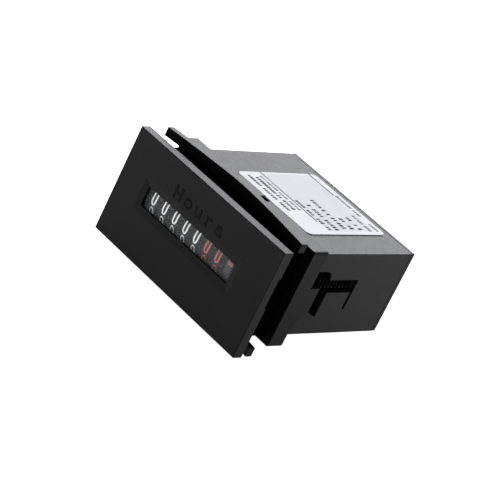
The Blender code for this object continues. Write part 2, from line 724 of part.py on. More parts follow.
# Rear cover and terminals
def make_rear_cover():
    """A plate over the housing's open end, its skirt inside the walls and a boss round each terminal."""
    start = HOUSING_REAR + FIT
    cover = block_with_chamfered_rim(
        "rear_cover",
        (-HALF_WIDTH, HALF_WIDTH),
        (start, CASE_DEPTH),
        (-HALF_HEIGHT, HALF_HEIGHT),
        CASE_DEPTH,
        COVER_CHAMFER,
    )
    half_width = INNER_HALF_WIDTH - SEAT_GAP
    half_height = INNER_HALF_HEIGHT - SEAT_GAP
    outer = rectangle((-half_width, half_width), (-half_height, half_height))
    inner_width = half_width - SKIRT_WALL
    inner_height = half_height - SKIRT_WALL
    inner = rectangle((-inner_width, inner_width), (-inner_height, inner_height))
    depth = (start - SKIRT_LENGTH, start + COVER_THICKNESS / 2)
    skirt = plate("cover_skirt", [outer, inner], "y", depth)
    join(cover, skirt)
    for side, label in ((-1, "left"), (1, "right")):
        middle = side * TAB_SPACING / 2
        half = TAB_WIDTH / 2 + FIT
        thin = TAB_THICKNESS / 2 + FIT
        boss = block(
            "slot_boss_" + label,
            (middle - half - SLOT_BOSS_WALL, middle + half + SLOT_BOSS_WALL),
            (CASE_DEPTH - COVER_THICKNESS / 2, CASE_DEPTH + SLOT_BOSS_HEIGHT),
            (-thin - SLOT_BOSS_WALL, thin + SLOT_BOSS_WALL),
        )
        slot = block(
            "terminal_slot_" + label,
            (middle - half, middle + half),
            (start - WALL, CASE_DEPTH + SLOT_BOSS_HEIGHT + WALL),
            (-thin, thin),
        )
        join(cover, boss)
        cut(cover, slot)
    return cover


def make_terminal(name, middle):
    """A flat 6.3 mm push-on tab, with its foot through the circuit board."""
    rear = CASE_DEPTH + TAB_LENGTH
    shoulder = BOARD_FRONT + BOARD_THICKNESS + TAB_SHOULDER
    foot = BOARD_FRONT - TAB_FOOT_LENGTH
    half = TAB_WIDTH / 2
    outline = [
        (middle - TAB_FOOT_WIDTH / 2, foot),
        (middle + TAB_FOOT_WIDTH / 2, foot),
        (middle + TAB_FOOT_WIDTH / 2, shoulder),
        (middle + half, shoulder),
        (middle + half, rear - TAB_TIP),
        (middle + half - TAB_TIP, rear),
        (middle - half + TAB_TIP, rear),
        (middle - half, rear - TAB_TIP),
        (middle - half, shoulder),
        (middle - TAB_FOOT_WIDTH / 2, shoulder),
    ]
    hole = circle(TAB_HOLE, (middle, rear - TAB_HOLE_INSET))
    return plate(name, [outline, hole], "z", (-TAB_THICKNESS / 2, TAB_THICKNESS / 2))


# Number wheels and transfer pinions
def lock_loop():
    """The low end of a wheel: a plain rim that locks the next pinion, and the two teeth that turn it."""
    half_step = 180.0 / RING_TEETH
    spread = math.degrees(TRANSFER_TOOTH / 2 / LOCK_RADIUS)
    tip = LOCK_RADIUS + TRANSFER_TOOTH
    loop = []
    for middle in (180.0 - half_step, 180.0 + half_step):
        loop += arc((0.0, 0.0), LOCK_RADIUS, middle - spread, middle - spread, 0)
        loop += arc((0.0, 0.0), tip, middle - spread / 2, middle + spread / 2, 1)
        loop += arc((0.0, 0.0), LOCK_RADIUS, middle + spread, middle + spread, 0)
    rest = 360.0 - 2 * (half_step + spread)
    start = 180.0 + half_step + spread
    return loop + arc((0.0, 0.0), LOCK_RADIUS, start, start + rest, WHEEL_SEGMENTS)[1:-1]


def make_wheel_mesh():
    """The wheel that all positions share: a digit band, a 20-tooth ring and the low transfer end."""
    half = WHEEL_WIDTH / 2
    low_radius = WHEEL_RADIUS - BAND_CHAMFER
    profile = [
        (0.0, RING_START),
        (low_radius, RING_START),
        (WHEEL_RADIUS, RING_START - BAND_CHAMFER),
        (WHEEL_RADIUS, BAND_START + BAND_CHAMFER),
        (low_radius, BAND_START),
        (0.0, BAND_START),
    ]
    wheel = turned("wheel", profile, "x", WHEEL_SEGMENTS)
    ring = gear_loop(RING_TEETH, RING_MODULE, RING_TOOTH, 180.0 / RING_TEETH)
    teeth = plate("wheel_ring", [ring], "x", (RING_START - 2 * BAND_CHAMFER, half))
    lock = plate("wheel_lock", [lock_loop()], "x", (-half, BAND_START + 2 * BAND_CHAMFER))
    join(wheel, teeth, lock)
    bore = rod("wheel_hub_bore", (-WHEEL_WIDTH, WHEEL_WIDTH), SHAFT_RADIUS + SHAFT_CLEARANCE)
    return bake(cut(wheel, bore))


def make_wheels():
    """Seven number wheels and the running indicator on one shaft."""
    pattern = make_wheel_mesh()
    made = []
    for number in range(WHEEL_COUNT + 1):
        name = "number_wheel_" + str(number + 1) if number < WHEEL_COUNT else "indicator_wheel"
        place = (WHEEL_FIRST_X + number * WHEEL_PITCH, WHEEL_Y, WHEEL_Z)
        made.append(add_object(name, pattern.data, place))
    bpy.data.objects.remove(pattern)
    return made


def make_pinion_mesh():
    """A transfer pinion: eight teeth beside the ring, and every second one beside the lower wheel."""
    addendum, dedendum, tip_width, root_width = PINION_TOOTH
    slim_widths = (tip_width - FLANK_STEP, root_width - FLANK_STEP)
    slim = (addendum - FLANK_STEP, dedendum + FLANK_STEP, *slim_widths)
    narrow = gear_loop(PINION_TEETH, RING_MODULE, PINION_TOOTH, 0.0)
    wide = gear_loop(PINION_TEETH, RING_MODULE, slim, 0.0, every=2)
    start = RING_START + SIDE_PLAY
    middle = WHEEL_WIDTH / 2 + SIDE_PLAY / 2
    end = WHEEL_PITCH + BAND_START - SIDE_PLAY
    pinion = plate("pinion", [narrow], "x", (start, middle))
    join(pinion, plate("pinion_wide", [wide], "x", (start + STEP, end)))
    bore = rod("pinion_hub_bore", (0.0, WHEEL_WIDTH), PINION_SHAFT_RADIUS + SHAFT_CLEARANCE)
    return bake(cut(pinion, bore))


def make_pinions():
    pattern = make_pinion_mesh()
    made = []
    for number in range(WHEEL_COUNT):
        place = (WHEEL_FIRST_X + number * WHEEL_PITCH, PINION_Y, WHEEL_Z)
        made.append(add_object("transfer_pinion_" + str(number + 1), pattern.data, place))
    bpy.data.objects.remove(pattern)
    return made


# Drive train
def make_drive_gear():
    """The 40-tooth gear and the 8-tooth pinion that turns the indicator wheel, moulded together."""
    bore = circle(PINION_SHAFT_RADIUS + SHAFT_CLEARANCE)
    gear = gear_loop(DRIVE_TEETH, TRAIN_MODULE, TRAIN_TOOTH, 180.0 / DRIVE_TEETH)
    pinion = gear_loop(PINION_TEETH, RING_MODULE, PINION_TOOTH, 0.0)
    start = INDICATOR_X + RING_START + SIDE_PLAY
    end = DRIVE_GEAR_X + GEAR_THICKNESS
    place = (0.0, PINION_Y, WHEEL_Z)
    made = plate("drive_gear", [gear, bore], "x", (DRIVE_GEAR_X, end), place)
    middle = DRIVE_GEAR_X + GEAR_THICKNESS / 2
    return join(made, plate("drive_pinion", [pinion, bore], "x", (start, middle), place))


def make_reduction_gear():
    """The 36-tooth gear and its 10-tooth pinion, which turns the drive gear."""
    place = (0.0, REDUCTION_Y, REDUCTION_Z)
    bore = circle(REDUCTION_PIN_RADIUS + SHAFT_CLEARANCE)
    slant = math.degrees(math.asin(-ROTOR_DROP / ROTOR_DISTANCE))
    phase = slant + 180.0 / REDUCTION_TEETH
    gear = gear_loop(REDUCTION_TEETH, TRAIN_MODULE, TRAIN_TOOTH, phase)
    pinion = gear_loop(TRAIN_PINION_TEETH, TRAIN_MODULE, TRAIN_PINION_TOOTH, 180.0)
    end = SECOND_GEAR_X + GEAR_THICKNESS
    made = plate("reduction_gear", [gear, bore], "x", (SECOND_GEAR_X, end), place)
    middle = SECOND_GEAR_X + GEAR_THICKNESS / 2
    return join(made, plate("reduction_pinion", [pinion, bore], "x", (DRIVE_GEAR_X, middle), place))


def make_rotor():
    """The motor's magnet and the arbor that carries it, with its 10-tooth pinion cut in one."""
    place = (0.0, ROTOR_Y, ROTOR_HEIGHT)
    slant = math.degrees(math.asin(-ROTOR_DROP / ROTOR_DISTANCE))
    pinion = gear_loop(TRAIN_PINION_TEETH, TRAIN_MODULE, TRAIN_PINION_TOOTH, 180.0 + slant)
    arbor = rod("rotor_arbor", (MOTOR_WALL_X, RIGHT_PLATE_X + PLATE_THICKNESS), ARBOR_RADIUS, place)
    end = SECOND_GEAR_X + GEAR_THICKNESS
    join(arbor, plate("rotor_pinion", [pinion], "x", (SECOND_GEAR_X, end), place))
    start = MOTOR_WALL_X + PLATE_THICKNESS + SEAT_GAP
    loops = [circle(MAGNET_RADIUS, segments=MAGNET_SEGMENTS), circle(ARBOR_RADIUS + SHAFT_CLEARANCE)]
    magnet = plate("rotor_magnet", loops, "x", (start, start + MAGNET_LENGTH), place)
    return arbor, magnet


def make_shafts():
    """The two fixed shafts and the short pin of the reduction gear."""
    span = (LEFT_PLATE_X - FIT, RIGHT_PLATE_X + PLATE_THICKNESS + FIT)
    wheels = rod("wheel_shaft", span, SHAFT_RADIUS, (0.0, WHEEL_Y, WHEEL_Z), SHAFT_SEGMENTS)
    pinions = rod("pinion_shaft", span, PINION_SHAFT_RADIUS, (0.0, PINION_Y, WHEEL_Z))
    pin_span = (DRIVE_GEAR_X - SEAT_GAP, RIGHT_PLATE_X + PLATE_THICKNESS)
    pin = rod("reduction_pin", pin_span, REDUCTION_PIN_RADIUS, (0.0, REDUCTION_Y, REDUCTION_Z))
    return wheels, pinions, pin


# Movement frame
def make_movement_frame():
    """One moulding: a floor, two side plates, a cross wall and the wall that holds the motor."""
    low = -FRAME_HALF_HEIGHT
    root = low + FLOOR_THICKNESS / 2
    plates_end = RIGHT_PLATE_X + PLATE_THICKNESS
    frame = block(
        "movement_frame",
        (LEFT_PLATE_X - FIT, plates_end + FIT),
        (FRAME_FRONT - FIT, FLOOR_REAR),
        (low, low + FLOOR_THICKNESS),
    )
    full = (root, FRAME_HALF_HEIGHT)
    left = (LEFT_PLATE_X, LEFT_PLATE_X + PLATE_THICKNESS)
    walls = [
        ("left_plate", left, (FRAME_FRONT, LEFT_PLATE_REAR), full),
        ("right_plate", (RIGHT_PLATE_X, plates_end), (FRAME_FRONT, RIGHT_PLATE_REAR), full),
        (
            "cross_wall",
            (LEFT_PLATE_X + PLATE_THICKNESS / 2, DRIVE_GEAR_X - GEAR_THICKNESS),
            (CROSS_WALL_FRONT, CROSS_WALL_FRONT + PLATE_THICKNESS),
            (root, FRAME_HALF_HEIGHT - STEP),
        ),
        (
            "motor_wall",
            (MOTOR_WALL_X, MOTOR_WALL_X + PLATE_THICKNESS),
            (MOTOR_WALL_FRONT, MOTOR_WALL_REAR),
            (root, MOTOR_WALL_TOP),
        ),
    ]
    join(frame, *[block(*wall) for wall in walls])
    lug_y = (LEFT_PLATE_REAR - LUG_LENGTH, LEFT_PLATE_REAR - STEP)
    lug_z = (TONGUE_TIP - HOOK_HEIGHT, TONGUE_TIP)
    sunk = PLATE_THICKNESS / 2
    left_lug = block("left_lug", (LEFT_PLATE_X - LUG_REACH, LEFT_PLATE_X + sunk), lug_y, lug_z)
    right_lug = block("right_lug", (plates_end - sunk, plates_end + LUG_REACH), lug_y, lug_z)
    join(frame, left_lug, right_lug)
    across = (LEFT_PLATE_X - WALL, plates_end + WALL)
    bores = [
        rod(
            "wheel_bore",
            across,
            SHAFT_RADIUS + SHAFT_CLEARANCE,
            (0.0, WHEEL_Y, WHEEL_Z),
            SHAFT_SEGMENTS,
        ),
        rod("pinion_bore", across, PINION_SHAFT_RADIUS + SHAFT_CLEARANCE, (0.0, PINION_Y, WHEEL_Z)),
        rod(
            "reduction_bore",
            (RIGHT_PLATE_X - WALL, plates_end + WALL),
            REDUCTION_PIN_RADIUS + SHAFT_CLEARANCE,
            (0.0, REDUCTION_Y, REDUCTION_Z),
        ),
        rod(
            "rotor_bore",
            (MOTOR_WALL_X - WALL, plates_end + WALL),
            ARBOR_RADIUS + SHAFT_CLEARANCE,
            (0.0, ROTOR_Y, ROTOR_HEIGHT),
        ),
    ]
    return cut(frame, *bores)


# Motor
def make_stator():
    """A flat lamination with the rotor's hole and two legs that hold the coil's core."""
    bay = rectangle((COIL_BAY_FRONT, STATOR_REAR + WALL), (-COIL_BAY_HALF_HEIGHT, COIL_BAY_HALF_HEIGHT))
    outline = [
        (STATOR_FRONT, -STATOR_HALF_HEIGHT),
        (STATOR_REAR, -STATOR_HALF_HEIGHT),
        (STATOR_REAR, bay[0][1]),
        (COIL_BAY_FRONT, bay[0][1]),
        (COIL_BAY_FRONT, bay[2][1]),
        (STATOR_REAR, bay[2][1]),
        (STATOR_REAR, STATOR_HALF_HEIGHT),
        (STATOR_FRONT, STATOR_HALF_HEIGHT),
    ]
    rotor_hole = circle(MAGNET_RADIUS + MAGNET_GAP, (ROTOR_Y, ROTOR_HEIGHT), MAGNET_SEGMENTS)
    return plate("stator_plate", [outline, rotor_hole], "x", (STATOR_X, STATOR_X + STATOR_THICKNESS))


def make_coil():
    """The core bar, the bobbin on it and its winding."""
    half_core = CORE_WIDTH / 2
    bar = rectangle((CORE_Y - half_core, CORE_Y + half_core), (-CORE_HALF_LENGTH, CORE_HALF_LENGTH))
    core = plate("coil_core", [bar], "x", (CORE_X, CORE_X + CORE_THICKNESS))
    middle_x = CORE_X + CORE_THICKNESS / 2

    def ring(half_x, half_y):
        return rectangle((middle_x - half_x, middle_x + half_x), (CORE_Y - half_y, CORE_Y + half_y))

    bore_x = CORE_THICKNESS / 2 + FIT
    bore_y = half_core + FIT
    tube = ring(bore_x + BOBBIN_WALL, bore_y + BOBBIN_WALL)
    flange = ring(BOBBIN_HALF_WIDTH, BOBBIN_HALF_WIDTH)
    inner = BOBBIN_HALF_LENGTH - BOBBIN_FLANGE
    bobbin = plate("coil_bobbin", [tube], "z", (-inner - STEP, inner + STEP))
    for side, label in ((-1, "bottom"), (1, "top")):
        join(bobbin, plate("flange_" + label, [flange], "z", side_span(side, inner, BOBBIN_HALF_LENGTH)))
    through = (-CORE_HALF_LENGTH, CORE_HALF_LENGTH)
    cut(bobbin, plate("bobbin_bore", [ring(bore_x, bore_y)], "z", through))
    half = BOBBIN_HALF_WIDTH - WINDING_INSET
    outline = rounded_rectangle(
        (middle_x - half, middle_x + half), (CORE_Y - half, CORE_Y + half), half / 2
    )
    hollow = ring(bore_x + BOBBIN_WALL + FIT, bore_y + BOBBIN_WALL + FIT / 2)
    winding = plate("coil_winding", [outline, hollow], "z", (FIT - inner, inner - FIT))
    return core, bobbin, winding


# Circuit board and components
def make_board():
    half_width = INNER_HALF_WIDTH - BOARD_MARGIN
    half_height = INNER_HALF_HEIGHT - BOARD_MARGIN
    loops = [rectangle((-half_width, half_width), (-half_height, half_height))]
    for side in (-1, 1):
        middle = side * TAB_SPACING / 2
        half = TAB_FOOT_WIDTH / 2 + FIT
        thin = TAB_THICKNESS / 2 + FIT
        loops.append(rectangle((middle - half, middle + half), (-thin, thin)))
    return plate("circuit_board", loops, "y", (BOARD_FRONT, BOARD_FRONT + BOARD_THICKNESS))


def make_capacitor():
    """A can with its rolled groove, standing forward from the board."""
    radius = CAPACITOR_RADIUS
    length = CAPACITOR_LENGTH
    groove = radius - CAPACITOR_GROOVE
    profile = [
        (0.0, length),
        (groove, length),
        (radius, length - CAPACITOR_GROOVE),
        (radius, CAPACITOR_GROOVE_PLACE + CAPACITOR_GROOVE),
        (groove, CAPACITOR_GROOVE_PLACE),
        (radius, CAPACITOR_GROOVE_PLACE - CAPACITOR_GROOVE),
        (radius, 0.0),
        (0.0, 0.0),
    ]
    end = BOARD_FRONT - PART_GAP
    place = (CAPACITOR_PLACE[0], end, CAPACITOR_PLACE[1])
    return turned("electrolytic_capacitor", profile, "y", CAN_SEGMENTS, place)


def make_crystal():
    radius = CRYSTAL_RADIUS
    profile = [
        (0.0, CRYSTAL_LENGTH),
        (radius - CRYSTAL_SHOULDER, CRYSTAL_LENGTH),
        (radius, CRYSTAL_LENGTH - CRYSTAL_SHOULDER),
        (radius, 0.0),
        (0.0, 0.0),
    ]
    place = (CRYSTAL_PLACE[0], BOARD_FRONT - PART_GAP, CRYSTAL_PLACE[1])
    return turned("quartz_crystal", profile, "y", BORE_SEGMENTS, place)


def component_block(name, size, place):
    """A block of (width, length, height) that stands forward from the board at (x, z)."""
    end = BOARD_FRONT - PART_GAP
    half_width = size[0] / 2
    half_height = size[2] / 2
    return block(
        name,
        (place[0] - half_width, place[0] + half_width),
        (end - size[1], end),
        (place[1] - half_height, place[1] + half_height),
    )


def make_film_capacitor():
    made = component_block("film_capacitor", FILM_SIZE, FILM_PLACE)
    bevel = made.modifiers.new("edges", "BEVEL")
    bevel.width = FILM_BEVEL
    bevel.segments = 1
    return made


def make_chip():
    """The driver chip: its body and two rows of legs."""
    chip = component_block("driver_chip", CHIP_SIZE, CHIP_PLACE)
    reach = CHIP_SIZE[2] / 2 + CHIP_LEG_SIZE[2] / 2 - PART_GAP
    for side in (-1, 1):
        for number in range(CHIP_LEGS):
            x = CHIP_PLACE[0] + (number - (CHIP_LEGS - 1) / 2) * CHIP_LEG_PITCH
            name = "leg_" + str(side) + "_" + str(number)
            join(chip, component_block(name, CHIP_LEG_SIZE, (x, CHIP_PLACE[1] + side * reach)))
    return chip


# Assembly
def build():
    start_scene()
    black = material("black_abs", (0.017, 0.017, 0.018), 0.55)
    frame_black = material("black_clamp_plastic", (0.012, 0.012, 0.013), 0.5)
    clear = material("clear_pane", (0.85, 0.87, 0.88), 0.05)
    paper = material("label_film", (0.8, 0.8, 0.82), 0.45)
    wheel_plastic = material("wheel_plastic", (0.055, 0.055, 0.058), 0.5)
    natural = material("natural_nylon", (0.75, 0.72, 0.64), 0.4)
    steel = material("bright_steel", (0.62, 0.62, 0.6), 0.25, 1.0)
    tin = material("tinned_brass", (0.72, 0.7, 0.64), 0.3, 1.0)
    iron = material("stator_iron", (0.35, 0.34, 0.33), 0.4, 1.0)
    ferrite = material("magnet_ferrite", (0.06, 0.06, 0.06), 0.6)
    copper = material("copper_wire", (0.72, 0.3, 0.14), 0.35, 1.0)
    board_green = material("board_laminate", (0.03, 0.16, 0.07), 0.5)
    film_yellow = material("capacitor_resin", (0.6, 0.35, 0.05), 0.45)
    can_blue = material("capacitor_sleeve", (0.03, 0.05, 0.16), 0.4)
    chip_black = material("chip_epoxy", (0.02, 0.02, 0.02), 0.5)

    for made in (make_housing(), make_rear_cover()):
        dress(made, black)
    dress(make_clamp_frame(), frame_black)
    dress(make_pane(), clear)
    dress(make_label(), paper)
    dress(make_terminal("terminal_left", -TAB_SPACING / 2), tin)
    dress(make_terminal("terminal_right", TAB_SPACING / 2), tin)
    for wheel in make_wheels():
        dress(wheel, wheel_plastic, smooth=True)
    for made in (*make_pinions(), make_drive_gear(), make_reduction_gear()):
        dress(made, natural)
    for made in make_shafts():
        dress(made, steel, smooth=True)
    dress(make_movement_frame(), black)
    arbor, magnet = make_rotor()
    dress(arbor, steel)
    dress(magnet, ferrite, smooth=True)
    dress(make_stator(), iron)
    core, bobbin, winding = make_coil()
    dress(core, iron)
    dress(bobbin, natural)
    dress(winding, copper, smooth=True)
    dress(make_board(), board_green)
    dress(make_capacitor(), can_blue, smooth=True)
    dress(make_crystal(), steel, smooth=True)
    dress(make_film_capacitor(), film_yellow)
    dress(make_chip(), chip_black)


build()
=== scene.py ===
"""Looks of the panel hour counter: finishes, prints, fine surfaces, camera and studio light.

The solid model is the fixed frame. Everything here is placed in the instrument's own coordinates
(x to the right as seen from the front, depth behind the front face, height from the bezel's middle)
and `Placement` turns them into the frame's coordinates. Lengths are in metres.
"""

import logging
import math
from dataclasses import dataclass, field, replace
from enum import Enum
from functools import partial
from typing import Iterable, Sequence

import bmesh
import bpy
from mathutils import Matrix, Vector

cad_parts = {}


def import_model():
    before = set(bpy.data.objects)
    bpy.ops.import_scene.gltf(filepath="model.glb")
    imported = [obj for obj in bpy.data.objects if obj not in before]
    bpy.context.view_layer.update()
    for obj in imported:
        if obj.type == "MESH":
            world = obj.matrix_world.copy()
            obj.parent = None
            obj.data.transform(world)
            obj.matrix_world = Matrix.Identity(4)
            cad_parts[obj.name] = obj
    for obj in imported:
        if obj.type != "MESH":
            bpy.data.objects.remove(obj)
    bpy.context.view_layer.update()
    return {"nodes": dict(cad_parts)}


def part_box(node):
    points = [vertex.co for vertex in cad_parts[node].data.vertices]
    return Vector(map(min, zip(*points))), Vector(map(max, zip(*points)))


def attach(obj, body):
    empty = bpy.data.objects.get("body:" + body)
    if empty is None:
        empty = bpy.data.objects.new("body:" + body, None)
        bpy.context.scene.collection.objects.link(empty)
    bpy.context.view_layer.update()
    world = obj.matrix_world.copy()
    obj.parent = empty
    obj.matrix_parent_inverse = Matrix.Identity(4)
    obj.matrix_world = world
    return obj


LOG = logging.getLogger("panel_counter")
MM = 0.001
Point = tuple[float, float]
Point3 = tuple[float, float, float]
Mesh = bpy.types.Mesh
Object = bpy.types.Object
Socket = bpy.types.NodeSocket
ZEROS: Point3 = (0.0, 0.0, 0.0)
ONES: Point3 = (1.0, 1.0, 1.0)
WHITE = (1.0, 1.0, 1.0, 1.0)
# A rectangle's corners in half widths and half heights.
CORNERS = ((-1, -1), (1, -1), (1, 1), (-1, 1))
# The custom property that marks this script's own materials.
DRESSED = "dressed"
WHEELS = 7
WHITE_WHEELS = 5


class Texture(Enum):
    """The fine structure of a finish."""

    MOULDED = "moulded"
    DRAWN = "drawn"
    ROLLED = "rolled"
    PRINT = "print"
    WOVEN = "woven"
    CLEAR = "clear"
    FLOOR = "floor"


# The grain's scale along the three axes, below 1 where it is drawn out.
STRETCH: dict[Texture, Point3] = {
    Texture.DRAWN: (0.03, 1.0, 1.0),
    Texture.ROLLED: (1.0, 0.06, 1.0),
}


@dataclass(frozen=True)
class Finish:
    """A procedural surface, read on Object coordinates.

    Attributes:
        name: Material name.
        colour: Linear base colour.
        roughness: Mean roughness.
        metallic: 0 for plastics, 1 for metals.
        specular: Specular level, 0.5 for an ordinary dielectric.
        texture: Which fine structure the surface has.
        grain: Size of the finest grain, in millimetres.
        depth: Height of that grain, in millimetres.
        mottle: Share by which the colour varies.
        wear: Share by which the roughness varies.
        alpha: Opacity.
        glow: Strength of the surface's own light.
        glow_far: That strength at and beyond the glow's reach, or nothing where it is even.
        glow_reach: Distances from the origin between which the glow rises.
        dull_zone: Limits along y between which shade is painted, the surface made matt and darker
            there, or nothing.
    """

    name: str
    colour: Point3
    roughness: float
    metallic: float = 0.0
    specular: float = 0.5
    texture: Texture = Texture.MOULDED
    grain: float = 0.25
    depth: float = 0.004
    mottle: float = 0.08
    wear: float = 0.12
    alpha: float = 1.0
    glow: float = 0.0
    glow_far: float | None = None
    glow_reach: Point = (30 * MM, 150 * MM)
    dull_zone: Point | None = None

    def material(self) -> bpy.types.Material:
        """Builds the material once and returns it afterwards.

        Returns:
            The Blender material.
        """
        found = bpy.data.materials.get(self.name)
        if found and DRESSED in found:
            return found
        if found:
            found.name = self.name + "_plain"
        return FinishBuilder(self).build()


def feed(node: bpy.types.Node, given: dict[int | str, object]) -> None:
    """Links sockets to a node's inputs or writes plain values there, by name or number."""
    for key, value in given.items():
        if isinstance(value, Socket):
            node.id_data.links.new(value, node.inputs[key])
        else:
            node.inputs[key].default_value = value


def add_node(
    tree: bpy.types.NodeTree, kind: str, given: dict[int | str, object], **settings: object
) -> bpy.types.Node:
    """Adds a node to a tree.

    Args:
        tree: A material's or a group's tree.
        kind: Blender's node type.
        given: A value or a socket for each input, by name or number.
        settings: The node's own settings, such as its operation.

    Returns:
        The new node.
    """
    made = tree.nodes.new(kind)
    for name, value in settings.items():
        setattr(made, name, value)
    feed(made, given)
    return made


class FinishBuilder:
    """Builds one material's node tree from a finish.

    A patch is its size and its octaves of detail, and a zone of painted shade keeps a share of its
    colour.
    """

    COLOUR_PATCH = (6 * MM, 3.0)
    ROUGHNESS_PATCH = (2.5 * MM, 5.0)
    GRAIN_OCTAVES = 2.0
    NOISE_ROUGHNESS = 0.6
    NOISE_RANGE = (0.3, 0.7)
    BUMP_STRENGTH = 0.6
    # Share of the colour that is left where shade is painted.
    DULL_SHARE = 0.15
    # Numbers of the colour mix's sockets, whose names aren't unique.
    FACTOR, FIRST, SECOND, RESULT = 0, 6, 7, 2

    def __init__(self, finish: Finish) -> None:
        self.finish = finish
        self.made = bpy.data.materials.new(finish.name)
        self.made[DRESSED] = True
        self.made.use_nodes = True
        self.node = partial(add_node, self.made.node_tree)
        self.shader = self.made.node_tree.nodes["Principled BSDF"]

    def object_space(self) -> Socket:
        """The surface's Object coordinates."""
        return self.node("ShaderNodeTexCoord", {}).outputs["Object"]

    def coordinates(self) -> Socket:
        """Object coordinates, drawn out along the grain."""
        stretch = STRETCH.get(self.finish.texture, ONES)
        given = {"Vector": self.object_space(), "Scale": stretch}
        return self.node("ShaderNodeMapping", given).outputs["Vector"]

    def noise(self, vector: Socket, size: float, detail: float) -> Socket:
        """A noise whose features are about as large as size.

        Args:
            vector: Texture coordinates.
            size: Feature size in metres.
            detail: Octaves of detail.

        Returns:
            The noise's factor.
        """
        given = {"Scale": 1.0 / size, "Detail": detail, "Roughness": self.NOISE_ROUGHNESS}
        return self.node("ShaderNodeTexNoise", {"Vector": vector, **given}).outputs["Fac"]

    def ramp(self, value: Socket, low: float, high: float, span: Point = (0.0, 1.0)) -> Socket:
        """Maps a value's span onto low to high."""
        given = {"From Min": span[0], "From Max": span[1], "To Min": low, "To Max": high}
        return self.node("ShaderNodeMapRange", {"Value": value, **given}).outputs["Result"]

    def math(self, kind: str, value: Socket, other: object) -> Socket:
        """Works on a socket and a number or a second socket."""
        return self.node("ShaderNodeMath", {0: value, 1: other}, operation=kind).outputs[0]

    def mix(self, factor: Socket, first: object, second: Point3) -> None:
        """Mixes two colours, the first a socket or with its alpha, into the base colour."""
        given = {self.FACTOR: factor, self.FIRST: first, self.SECOND: (*second, 1.0)}
        made = self.node("ShaderNodeMix", given, data_type="RGBA")
        feed(self.shader, {"Base Color": made.outputs[self.RESULT]})

    def colour(self, vector: Socket) -> None:
        """Varies the base colour a little, in broad patches."""
        dark, light = (
            tuple(min(1.0, value * (1.0 + change)) for value in self.finish.colour)
            for change in (-self.finish.mottle, self.finish.mottle)
        )
        patches = self.noise(vector, *self.COLOUR_PATCH)
        self.mix(self.ramp(patches, 0.0, 1.0, self.NOISE_RANGE), (*dark, 1.0), light)

    def dull(self) -> None:
        """Paints shade between the zone's limits by taking the gloss and most of the colour away.
        """
        low, high = self.finish.dull_zone
        split = self.node("ShaderNodeSeparateXYZ", {"Vector": self.object_space()})
        past = self.math("GREATER_THAN", split.outputs["Y"], low)
        before = self.math("LESS_THAN", split.outputs["Y"], high)
        inside = self.math("MULTIPLY", past, before)
        mottled = self.shader.inputs["Base Color"].links[0].from_socket
        self.mix(inside, mottled, tuple(value * self.DULL_SHARE for value in self.finish.colour))
        feed(self.shader, {"Specular IOR Level": self.ramp(inside, self.finish.specular, 0.0)})

    def wear(self, vector: Socket) -> None:
        """Varies the roughness in small patches."""
        mean, share = self.finish.roughness, self.finish.wear
        low, high = mean * (1 - share), min(1.0, mean * (1 + share))
        patches = self.noise(vector, *self.ROUGHNESS_PATCH)
        feed(self.shader, {"Roughness": self.ramp(patches, low, high, self.NOISE_RANGE)})

    def relief(self, vector: Socket) -> None:
        """Adds the fine grain as a bump."""
        grain, depth = self.finish.grain * MM, self.finish.depth * MM
        if self.finish.texture is Texture.WOVEN:
            weave = self.node("ShaderNodeTexVoronoi", {"Vector": vector, "Scale": 1.0 / grain})
            height = weave.outputs["Distance"]
        else:
            height = self.noise(vector, grain, self.GRAIN_OCTAVES)
        given = {"Strength": self.BUMP_STRENGTH, "Distance": depth, "Height": height}
        feed(self.shader, {"Normal": self.node("ShaderNodeBump", given).outputs["Normal"]})

    def rising_glow(self) -> None:
        """Lets the surface's own light rise with the distance from the origin."""
        finish = self.finish
        away = self.node("ShaderNodeVectorMath", {0: self.object_space()}, operation="LENGTH")
        glow = self.ramp(away.outputs["Value"], finish.glow, finish.glow_far, finish.glow_reach)
        feed(self.shader, {"Emission Strength": glow})

    def build(self) -> bpy.types.Material:
        """Builds the whole tree.

        Returns:
            The finished material.
        """
        finish = self.finish
        plain = {
            "Base Color": (*finish.colour, 1.0),
            "Roughness": finish.roughness,
            "Metallic": finish.metallic,
            "Specular IOR Level": finish.specular,
            "Alpha": finish.alpha,
            "Emission Color": WHITE,
            "Emission Strength": finish.glow,
        }
        feed(self.shader, plain)
        vector = self.coordinates()
        if finish.texture is not Texture.CLEAR:
            self.colour(vector)
            self.relief(vector)
        self.wear(vector)
        # Painted shade on the housing's neck behind the bezel, for the finishes that have it.
        if finish.dull_zone:
            self.dull()
        if finish.glow_far:
            self.rising_glow()
        self.made.diffuse_color = (*finish.colour, finish.alpha)
        return self.made


# Depths, from the frame's middle, of the housing's neck behind the bezel, where shade is painted as
# a matt, darker zone.
NECK = (-27.3 * MM, -17.45 * MM)
BEZEL = Finish(
    "bezel_plastic", (0.0022, 0.0022, 0.0026), 0.5, specular=0.074, grain=0.32, depth=0.07,
    wear=0.03, dull_zone=NECK,
)
CLAMP = Finish(
    "clamp_plastic", (0.0009, 0.0009, 0.0011), 0.45, specular=0.05, grain=0.32, depth=0.015,
    wear=0.04,
)
PANE = Finish(
    "window_pane_clear", (0.3, 0.31, 0.32), 0.06, specular=0.1, texture=Texture.CLEAR, alpha=0.06
)
FILM = Finish(
    "label_film", (0.53, 0.535, 0.56), 0.7, specular=0.02, grain=0.12, depth=0.002, mottle=0.02
)
FILM_GREY = replace(FILM, name="label_zone", colour=(0.465, 0.469, 0.492))
LABEL_INK = Finish(
    "label_ink", (0.05, 0.05, 0.054), 0.7, specular=0.02, texture=Texture.PRINT, grain=0.1,
    mottle=0.3,
)
FAINT_INK = replace(LABEL_INK, name="label_faint_ink", colour=(0.14, 0.14, 0.15))
WHEEL = Finish(
    "wheel_plastic", (0.019, 0.019, 0.021), 0.55, specular=0.25, grain=0.2, depth=0.001, wear=0.04
)
